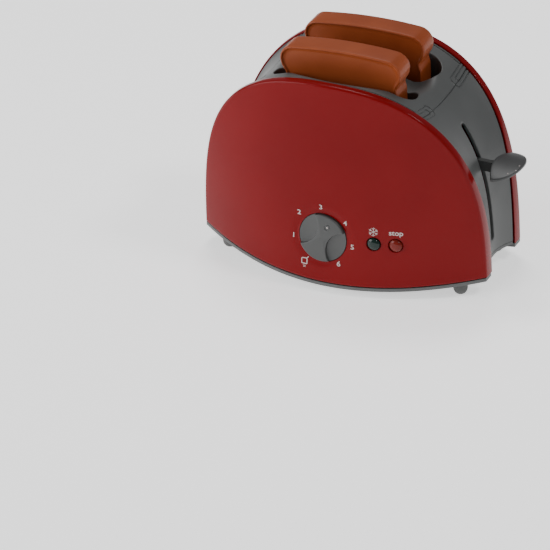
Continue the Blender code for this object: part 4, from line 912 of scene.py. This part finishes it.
def make_top():
    seam = SEAM_X - GAP / 2
    outer = []
    inner = []
    for row in range(TOP_ROWS + 1):
        x = seam * (2 * row / TOP_ROWS - 1)
        half = frame_half(x, arch_level(x, FRAME_EDGE))
        ys = [half * (2 * step / TOP_COLUMNS - 1) for step in range(TOP_COLUMNS + 1)]
        outer.append([(x, y, top_level(x, y)) for y in ys])
        inner.append([(x, y, top_level(x, y) - TOP_WALL) for y in ys])
    top = slab("gray_top", outer, inner)
    for offset in (-SLOT_OFFSET, SLOT_OFFSET):
        outline = race_track(SLOT_HALF_Y + CHUTE_WALL, offset)
        foot = [(x, y, CHUTE_FOOT) for x, y in outline]
        head = [(x, y, top_level(x, y) - TOP_WALL / 2) for x, y in outline]
        boolean(top, fan_loft("chute", [foot, head]), "UNION")
    shelf_low = (SLOT_HALF_X + CHUTE_WALL / 2, -SHELF_HALF_Y, SHELF_BOTTOM)
    boolean(top, block("shelf", shelf_low, (SHELF_X, SHELF_HALF_Y, SHELF_BOTTOM + SHELF_HEIGHT)), "UNION")
    for offset in (-SLOT_OFFSET, SLOT_OFFSET):
        track = race_track(SLOT_HALF_Y, offset)
        boolean(top, lipped("bread_slot", track, top_level, lambda a, b, c: (a, b, c), SLOT_LIP, SLOT_CUT,
                            SLOT_LIP_REACH))
        half = CHUTE_SLIT_WIDTH / 2
        boolean(top, block("chute_slit", (SLOT_HALF_X / 2, offset - half, CHUTE_FOOT - OVERRUN),
                           (SLOT_HALF_X + 2 * CHUTE_WALL, offset + half, CHUTE_SLIT_TOP)))
    for side in (-1, 1):
        line = []
        for step in range(81):
            x = -RIM_LINE_HALF + 2 * RIM_LINE_HALF * step / 80
            y = frame_half(x, arch_level(x)) - RIM_LINE_INSET
            line.append((x, side * y, body_level(x, y)))
        groove(top, line, GROOVE_RADIUS)
    cut_tabs(top, 1)
    cut_tabs(top, -1)
    dressed(top, GRAY, "housing", "gray_frame", "top_frame")


# Base tray and feet
def make_tray():
    sections = []
    steps = 80
    for step in range(steps + 1):
        x = TRAY_END * (2 * step / steps - 1)
        bottom = edge_level(x, TRAY_EDGE)
        half = face(x, bottom) - TRAY_INSET
        top = bottom + TRAY_PLATE
        soft = TRAY_SOFT
        near = soft * SOFT_SHARE
        across = [(-half + soft, bottom), (half - soft, bottom), (half - near, bottom + near),
                  (half, bottom + soft), (half, top), (-half, top), (-half, bottom + soft),
                  (-half + near, bottom + near)]
        sections.append([(x, y, z) for y, z in across])
    tray = fan_loft("gray_tray", sections)
    deepest = frame_inset(0, LENGTH, WALL_FOOT) + FRAME_WALL
    notch_x = arch_point(wall_turn(deepest, WALL_FOOT), deepest)[0] - GAP
    wall_x = arch_point(wall_turn(FRAME_EDGE, WALL_FOOT), FRAME_EDGE)[0]
    half = frame_half(wall_x, WALL_FOOT) + GAP
    for side in (-1, 1):
        low_x, high_x = sorted((side * notch_x, side * LENGTH))
        boolean(tray, block("tray_notch", (low_x, -half, -OVERRUN), (high_x, half, WALL_FOOT + TRAY_PLATE)))
    for x in (-POST_X, POST_X):
        for y in (-POST_Y, POST_Y):
            level = edge_level(x, TRAY_EDGE) + TRAY_PLATE / 2
            boolean(tray, moved(rod("screw_well", WELL_RADIUS, level, WELL_TOP), x, y), "UNION")
            boolean(tray, moved(rod("well_bore", WELL_BORE, 0, WELL_BORE_TOP), x, y))
    for x in (-FOOT_X, FOOT_X):
        for y in (-FOOT_Y, FOOT_Y):
            level = edge_level(x, TRAY_EDGE) + TRAY_PLATE / 2
            boolean(tray, moved(rod("foot_pad", PAD_RADIUS, PAD_BOTTOM, level), x, y), "UNION")
    for y in (-SLOT_OFFSET, SLOT_OFFSET):
        level = edge_level(ROD_X, TRAY_EDGE) + TRAY_PLATE / 2
        boolean(tray, moved(rod("rod_boss", ROD_BOSS_RADIUS, level, ROD_BOSS_TOP), ROD_X, y), "UNION")
    dressed(tray, GRAY, "housing", "gray_frame", "base_tray")
    for end, x in (("left", -FOOT_X), ("right", FOOT_X)):
        for side, y in (("front", -FOOT_Y), ("rear", FOOT_Y)):
            profile = [(0, 0), (FOOT_FLAT, 0)]
            for step in range(1, 9):
                angle = pi / 2 * step / 8
                profile.append((FOOT_FLAT + (FOOT_RADIUS - FOOT_FLAT) * sin(angle),
                                FOOT_TOP * FOOT_DOME_SHARE * (1 - cos(angle))))
            profile += [(FOOT_RADIUS, FOOT_TOP), (0, FOOT_TOP)]
            foot = moved(turned(f"rubber_foot_{side}_{end}", profile, 40), x, y)
            dressed(foot, RUBBER, "housing", "foot", f"foot_{side}_{end}")


# Bread slices
def slice_outline():
    """The slice's outline (x, z), counter-clockwise from the middle of its top"""
    corner_x = SLICE_HALF - SLICE_CORNER
    corner_z = SLICE_TOP - SLICE_CROWN - SLICE_CORNER
    right = []
    for step in range(14):
        share = step / 14
        right.append((corner_x * share, SLICE_TOP - SLICE_CROWN * share * share))
    for facet in range(4):
        for share in SLICE_FACET_SHARES:
            turn = pi / 2 * (1 - (facet + share) / 4)
            flat = SLICE_CORNER * (1 - SLICE_FACET_DIP_SHARE * (1 - abs(2 * share - 1)))
            right.append((corner_x + flat * cos(turn), corner_z + flat * sin(turn)))
    waist = [(SLICE_HALF, corner_z), (SLICE_HALF - SLICE_CHEEK_IN, corner_z - SLICE_CHEEK),
             (SLICE_HALF - SLICE_WAIST, corner_z - SLICE_WAIST_DROP),
             (SLICE_HALF - SLICE_BODY, corner_z - SLICE_BODY_DROP),
             (SLICE_HALF - SLICE_BODY, corner_z - SLICE_BODY_DROP - SLICE_CHEEK)]
    right += smooth_curve(waist, 6)
    foot_x = SLICE_HALF - SLICE_BODY - SLICE_FOOT
    for step in range(9):
        turn = pi / 2 * step / 8
        right.append((foot_x + SLICE_FOOT * cos(turn), SLICE_BOTTOM + SLICE_FOOT * (1 - sin(turn))))
    right.append((0, SLICE_BOTTOM))
    left = [(-x, z) for x, z in right[1:-1]]
    return [right[0]] + left + [right[-1]] + list(reversed(right[1:-1]))


def make_slices():
    outline = slice_outline()
    half = SLICE_THICKNESS / 2
    tip = Matrix.Translation((0, 0, SLICE_PIVOT)) @ Matrix.Rotation(-radians(SLICE_TIP), 4, "Y")
    tip = tip @ Matrix.Translation((0, 0, -SLICE_PIVOT))
    rim = [(inset, half - drop) for inset, drop in SLICE_RIM]
    centre = Vector((0, (SLICE_TOP + SLICE_BOTTOM) / 2))
    rings = []
    panel_inset, panel_y = rim[-1]
    last = inset_outline(outline, panel_inset)
    for share in (0.05, 0.2, 0.4, 0.6, 0.8):
        loop = [Vector(point).lerp(centre, share) for point in last]
        rings.append([(x, panel_y, z) for x, z in loop])
    edge = [[(x, y, z) for x, z in inset_outline(outline, inset)] for inset, y in rim]
    one_side = list(reversed(rings)) + list(reversed(edge))
    mirrored = [[(x, -y, z) for x, y, z in loop] for loop in reversed(one_side)]
    for name, body, offset in (("front", "slice_front", -SLOT_OFFSET), ("rear", "slice_rear", SLOT_OFFSET)):
        bread = fan_loft(f"toy_bread_{name}", one_side + mirrored)
        placed(bread, Matrix.Translation((0, offset, 0)) @ tip)
        dressed(bread, BREAD, body, "bread", f"bread_slice_{name}", angle=60)


# Lever paddle
def paddle_top(y):
    return PADDLE_CORNER_Z + PADDLE_CROWN * (1 - (y / PADDLE_HALF_Y) ** 2)


def make_paddle():
    steps = 48
    outer = []
    inner = []
    for step in range(steps + 1):
        y = -PADDLE_HALF_Y * cos(pi * (step + PADDLE_BLUNT) / (steps + 2 * PADDLE_BLUNT))
        bow = sqrt(max(1 - (y / PADDLE_HALF_Y) ** 2, 0))
        y *= PADDLE_SHARE
        outer.append((PADDLE_CORNER_X + PADDLE_OUTER_BOW * bow, y))
        inner.append((PADDLE_CORNER_X - PADDLE_INNER_BOW * bow * bow, y))
    outline = outer + list(reversed(inner[1:-1]))
    count = len(outline)
    centre_x = PADDLE_CORNER_X + (PADDLE_OUTER_BOW - PADDLE_INNER_BOW) / 2
    centre = Vector((centre_x, 0))
    loops = []

    def level(points, drop):
        loops.append([(x, y, paddle_top(y) + drop) for x, y in points])

    for share in (0.8, 0.6, 0.4, 0.2):
        level([Vector(point).lerp(centre, share) for point in outline], -PADDLE_PLATE)
    for step in range(5):
        turn = pi / 2 * step / 4
        short = PADDLE_ROUND * (1 - sin(turn))
        level([Vector(point) + (centre - Vector(point)).normalized() * short for point in outline],
              -PADDLE_PLATE + PADDLE_ROUND * (1 - cos(turn)))
    for step in range(5):
        turn = pi / 2 * step / 4
        short = PADDLE_ROUND * (1 - cos(turn))
        level([Vector(point) + (centre - Vector(point)).normalized() * short for point in outline],
              -PADDLE_ROUND * (1 - sin(turn)))
    for share in (0.2, 0.4, 0.6, 0.8):
        level([Vector(point).lerp(centre, share) for point in outline], 0)
    paddle = fan_loft("gray_paddle", loops)
    socket = block("socket", (SOCKET_START, -SOCKET_HALF_Y, SOCKET_BOTTOM),
                   (SOCKET_END, SOCKET_HALF_Y, SOCKET_TOP))
    boolean(paddle, bevelled(socket, SOCKET_SOFT), "UNION")
    dressed(paddle, PADDLE, "carriage", "gray_frame", "lever_paddle")
    dots = [moved(turned("dot", PADDLE_DOT_PROFILE, 20), x, y, paddle_top(y)) for x, y in PADDLE_DOTS]
    dressed(joined("paddle_dots", dots), PRINT_AND_HIGHLIGHT, "carriage", "white_plastic")


# Dial, buttons and print
def dial_place():
    cosine, sine = dial_lean()
    outward = Vector((0, -cosine, sine))
    across = Vector((1, 0, 0))
    place = Matrix((across, outward.cross(across), outward)).transposed().to_4x4()
    place.translation = (DIAL_X, -face(DIAL_X, DIAL_Z), DIAL_Z)
    return place


def make_dial():
    chamfer = [(DIAL_RADIUS - DIAL_CHAMFER * (1 - cos(turn)), DIAL_PROUD - DIAL_CHAMFER * (1 - sin(turn)))
               for turn in (pi / 2 * step / 5 for step in range(6))]
    back = [(0, DIAL_BACK), (DIAL_RADIUS - DIAL_SOFT, DIAL_BACK), (DIAL_RADIUS, DIAL_BACK + DIAL_SOFT)]
    knob = turned("gray_dial", back + chamfer + [(0, DIAL_PROUD)], 128)
    for side in (-1, 1):
        soft = SCOOP_SOFT
        near = soft * SOFT_SHARE
        wall = DIAL_PROUD - SCOOP_DEPTH
        scoop = [(0, wall), (SCOOP_RADIUS - soft, wall), (SCOOP_RADIUS - near, wall + near),
                 (SCOOP_RADIUS, wall + soft), (SCOOP_RADIUS, DIAL_PROUD - soft),
                 (SCOOP_RADIUS + near, DIAL_PROUD - near),
                 (SCOOP_RADIUS + soft * 1.2, DIAL_PROUD + soft * 0.2), (0, DIAL_PROUD + soft * 0.2)]
        boolean(knob, moved(turned("scoop", scoop, 128), side * SCOOP_OFFSET, 0))
    ring = [(POINTER_RADIUS * cos(turn), POINTER_PLACE + POINTER_RADIUS * sin(turn), DIAL_PROUD)
            for turn in (2 * pi * step / 48 for step in range(48))]
    boolean(knob, tube("ring", ring, POINTER_LINE, 8, closed=True))
    place = dial_place() @ Matrix.Rotation(-radians(DIAL_POINTER), 4, "Z")
    dressed(placed(knob, place), DIAL, "dial", "dial", "timer_dial")
    # The pointer dot: a small dome in the pale print colour, which is a painted highlight in the middle of
    # the ringed groove
    dot = turned("pointer_highlight_dot", [(radius, DIAL_PROUD + rise) for radius, rise in POINTER_DOT], 24)
    moved(dot, 0, POINTER_PLACE)
    dressed(placed(dot, place), PRINT_AND_HIGHLIGHT, "dial", "white_plastic")


def make_buttons():
    back, front = FLANGE_SPAN
    height = BUTTON_PROUD - BUTTON_RIM
    for name, x, look, slot in (("defrost", DEFROST_X, GREEN, "green_button"),
                                ("stop", STOP_X, STOP_RED, "red_button")):
        tip = -(face(x, BUTTON_Z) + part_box(f"{name}_button")[1][1])
        profile = [(0, tip), (PLUNGER_RADIUS, tip), (PLUNGER_RADIUS, back), (FLANGE_RADIUS, back),
                   (FLANGE_RADIUS, front), (BUTTON_RADIUS, front), (BUTTON_RADIUS, BUTTON_RIM)]
        for step in range(1, 12):
            angle = pi / 2 * step / 12
            profile.append((BUTTON_RADIUS * cos(angle), BUTTON_RIM + height * sin(angle)))
        profile.append((0, BUTTON_PROUD))
        place = Matrix.Translation((x, -face(x, BUTTON_Z), BUTTON_Z)) @ Matrix.Rotation(pi / 2, 4, "X")
        button = placed(turned(f"{name}_dome", profile, 64), place)
        dressed(button, look, name, slot, f"{name}_button")


def make_coils():
    for node, joint, travel, turns, wire in COILS:
        low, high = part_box(node)
        upright = joint == "lever_slide"
        along = 2 if upright else 1
        length = high[along] - low[along]
        radius = (high[0] - low[0]) / 2 - wire
        count = turns * COIL_STEPS
        path = []
        for step in range(count + 1):
            angle = 2 * pi * step / COIL_STEPS
            level = wire + (length - 2 * wire) * step / count
            path.append((radius * cos(angle), radius * sin(angle), level))
        coil = tube(node + "_coil", path, wire, 6)
        x = (low[0] + high[0]) / 2 + MIDDLE
        if upright:
            place = Matrix.Translation((x, (low[1] + high[1]) / 2, low[2]))
        else:
            place = Matrix.Translation((x, high[1], (low[2] + high[2]) / 2)) @ Matrix.Rotation(pi / 2, 4, "X")
        dressed(placed(coil, place), STEEL, "housing", "steel", node)
        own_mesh(coil)


def words(text, size, x, z, wide):
    """Plain letters or numbers printed on the front shell, centred at x, z"""
    curve = bpy.data.curves.new("print", "FONT")
    curve.body = text
    curve.size = size
    curve.align_x = "CENTER"
    curve.align_y = "CENTER"
    curve.resolution_u = 4
    curve.offset = size * 0.012
    source = bpy.data.objects.new("print", curve)
    bpy.context.scene.collection.objects.link(source)
    bpy.context.view_layer.update()
    mesh = bpy.data.meshes.new_from_object(source.evaluated_get(bpy.context.evaluated_depsgraph_get()))
    bpy.data.objects.remove(source)
    work = bmesh.new()
    work.from_mesh(mesh)
    bmesh.ops.triangulate(work, faces=work.faces)
    for _ in range(5):
        long = [edge for edge in work.edges if edge.calc_length() > PRINT_STEP]
        if long:
            bmesh.ops.subdivide_edges(work, edges=long, cuts=1)
            bmesh.ops.triangulate(work, faces=work.faces)
    work.to_mesh(mesh)
    work.free()
    made = bpy.data.objects.new("print", mesh)
    bpy.context.scene.collection.objects.link(made)
    placed(made, Matrix.Translation((x, z, 0)) @ Matrix.Diagonal((wide, 1, 1, 1)))
    return on_front(made)


def strokes(lines, width, x=0, z=0):
    """Straight printed lines as flat strips"""
    points = []
    faces = []
    for (ax, az), (bx, bz) in lines:
        along = Vector((bx - ax, bz - az))
        aside = Vector((-along.y, along.x)).normalized() * width / 2
        parts = 4
        for part in range(parts):
            a = Vector((ax, az)) + along * part / parts
            b = Vector((ax, az)) + along * (part + 1) / parts
            start = len(points)
            points += [(p.x + x, p.y + z, 0) for p in (a - aside, b - aside, b + aside, a + aside)]
            faces.append((start, start + 1, start + 2, start + 3))
    return on_front(mesh_object("print", points, faces))


def on_front(made):
    """Lay a flat drawing (x, z) on the front shell's face"""
    for vertex in made.data.vertices:
        x, z = vertex.co.x, vertex.co.y
        vertex.co = (x, -front_face(x, z) - PRINT_RISE, z)
    return made


def bread_sign():
    x, z = DIAL_X + BREAD_SIGN_PLACE[0], DIAL_Z + BREAD_SIGN_PLACE[1]
    s = BREAD_SIGN_SIZE
    box = [(-s, -s), (s, -s), (s, s * 0.7), (s * 0.7, s), (-s * 0.7, s), (-s, s * 0.7)]
    slice_lines = list(zip(box, box[1:] + box[:1]))
    slice_lines.append(((s * 0.9, s * 1.15), (s * 1.5, s * 1.6)))
    under = [((-s * 0.55, -s * 1.75), (s * 0.55, -s * 1.75)), ((-s * 0.45, -s * 2.25), (s * 0.45, -s * 2.25))]
    return [strokes(slice_lines, BREAD_SIGN_LINE, x, z), strokes(under, BREAD_SIGN_UNDERLINE, x, z)]


def snow_sign():
    flake = []
    for arm in range(6):
        turn = pi / 3 * arm + pi / 2
        tip = Vector((cos(turn), sin(turn))) * SNOW_ARM
        flake.append(((0, 0), tuple(tip)))
        for swing in (-1, 1):
            root = tip * SNOW_TWIG_SHARE
            aside = turn + swing * pi / 4
            twig = root + Vector((cos(aside), sin(aside))) * SNOW_TWIG
            flake.append((tuple(root), tuple(twig)))
    return strokes(flake, SNOW_LINE, *SNOW_PLACE)


def make_print():
    things = [words(str(number), NUMBER_SIZE, DIAL_X + x, DIAL_Z + z, NUMBER_WIDE_SHARE)
              for number, (x, z) in enumerate(NUMBERS, 1)]
    things += bread_sign()
    things.append(snow_sign())
    things.append(words("stop", STOP_WORD_SIZE, *STOP_WORD_PLACE, STOP_WORD_WIDE_SHARE))
    dressed(joined("front_print", things), PRINT_AND_HIGHLIGHT, "housing", "white_plastic")


# Camera and light
def photo_camera():
    """The photograph's camera, turned to look at the middle of its frame"""
    azimuth, elevation = radians(VIEW_AZIMUTH), radians(VIEW_ELEVATION)
    back = Vector((sin(azimuth) * cos(elevation), -cos(azimuth) * cos(elevation), sin(elevation)))
    right = Vector((cos(azimuth), sin(azimuth), 0))
    up = back.cross(right)
    level = Matrix((right, up, back)).transposed()
    level = level @ Matrix.Rotation(-VIEW_ROLL, 3, "Z")
    axis_x, axis_y, axis_z = (level.col[i].copy() for i in range(3))
    off_x = PHOTO_PIXELS / 2 - VIEW_AXIS_PIXEL[0]
    off_y = VIEW_AXIS_PIXEL[1] - PHOTO_PIXELS / 2
    toward = (axis_x * off_x + axis_y * off_y - axis_z * VIEW_FOCAL_PIXELS).normalized()
    swing = (-axis_z).rotation_difference(toward)
    turn = swing.to_matrix() @ level
    data = bpy.data.cameras.new("photo_camera")
    data.sensor_width = SENSOR_MM
    data.lens = VIEW_FOCAL_PIXELS / PHOTO_PIXELS * SENSOR_MM
    data.clip_start = CLIP_START
    data.clip_end = CLIP_END
    made = bpy.data.objects.new("photo_camera", data)
    bpy.context.scene.collection.objects.link(made)
    place = Vector(VIEW_TARGET) + back * VIEW_DISTANCE - Vector((MIDDLE, 0, 0))
    made.matrix_world = Matrix.Translation(place) @ turn.to_4x4()
    bpy.context.scene.camera = made


def area_light(name, place, size, power):
    data = bpy.data.lights.new(name, "AREA")
    data.shape = "RECTANGLE"
    data.size, data.size_y = size
    data.energy = power
    made = bpy.data.objects.new(name, data)
    bpy.context.scene.collection.objects.link(made)
    made.location = place
    made.rotation_euler = (Vector(LIGHT_TARGET) - Vector(place)).to_track_quat("-Z", "Y").to_euler()


def studio():
    world = bpy.data.worlds.new("studio")
    bpy.context.scene.world = world
    world.use_nodes = True
    sky = world.node_tree.nodes["Background"]
    sky.inputs["Color"].default_value = (0.97, 0.98, 1.0, 1)
    sky.inputs["Strength"].default_value = 0.28
    for light in LIGHTS:
        area_light(*light)
    corners = [(x * FLOOR_HALF, y * FLOOR_HALF, 0) for x, y in ((-1, -1), (1, -1), (1, 1), (-1, 1))]
    floor = mesh_object("floor", corners, [(0, 1, 2, 3)])
    look = new_material("floor_white", (0.92, 0.92, 0.92), 0.7, Emission_Strength=0.85)
    look.node_tree.nodes["Principled BSDF"].inputs["Emission Color"].default_value = (1, 1, 1, 1)
    floor.data.materials.append(look)


photo_camera()
studio()
for name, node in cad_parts.items():
    look = next((made for word, made in NODE_LOOKS.items() if word in name), GRAY)
    node.data.materials.clear()
    node.data.materials.append(look)
make_shells()
make_walls()
make_top()
make_tray()
make_slices()
make_paddle()
make_dial()
make_buttons()
make_coils()
make_print()
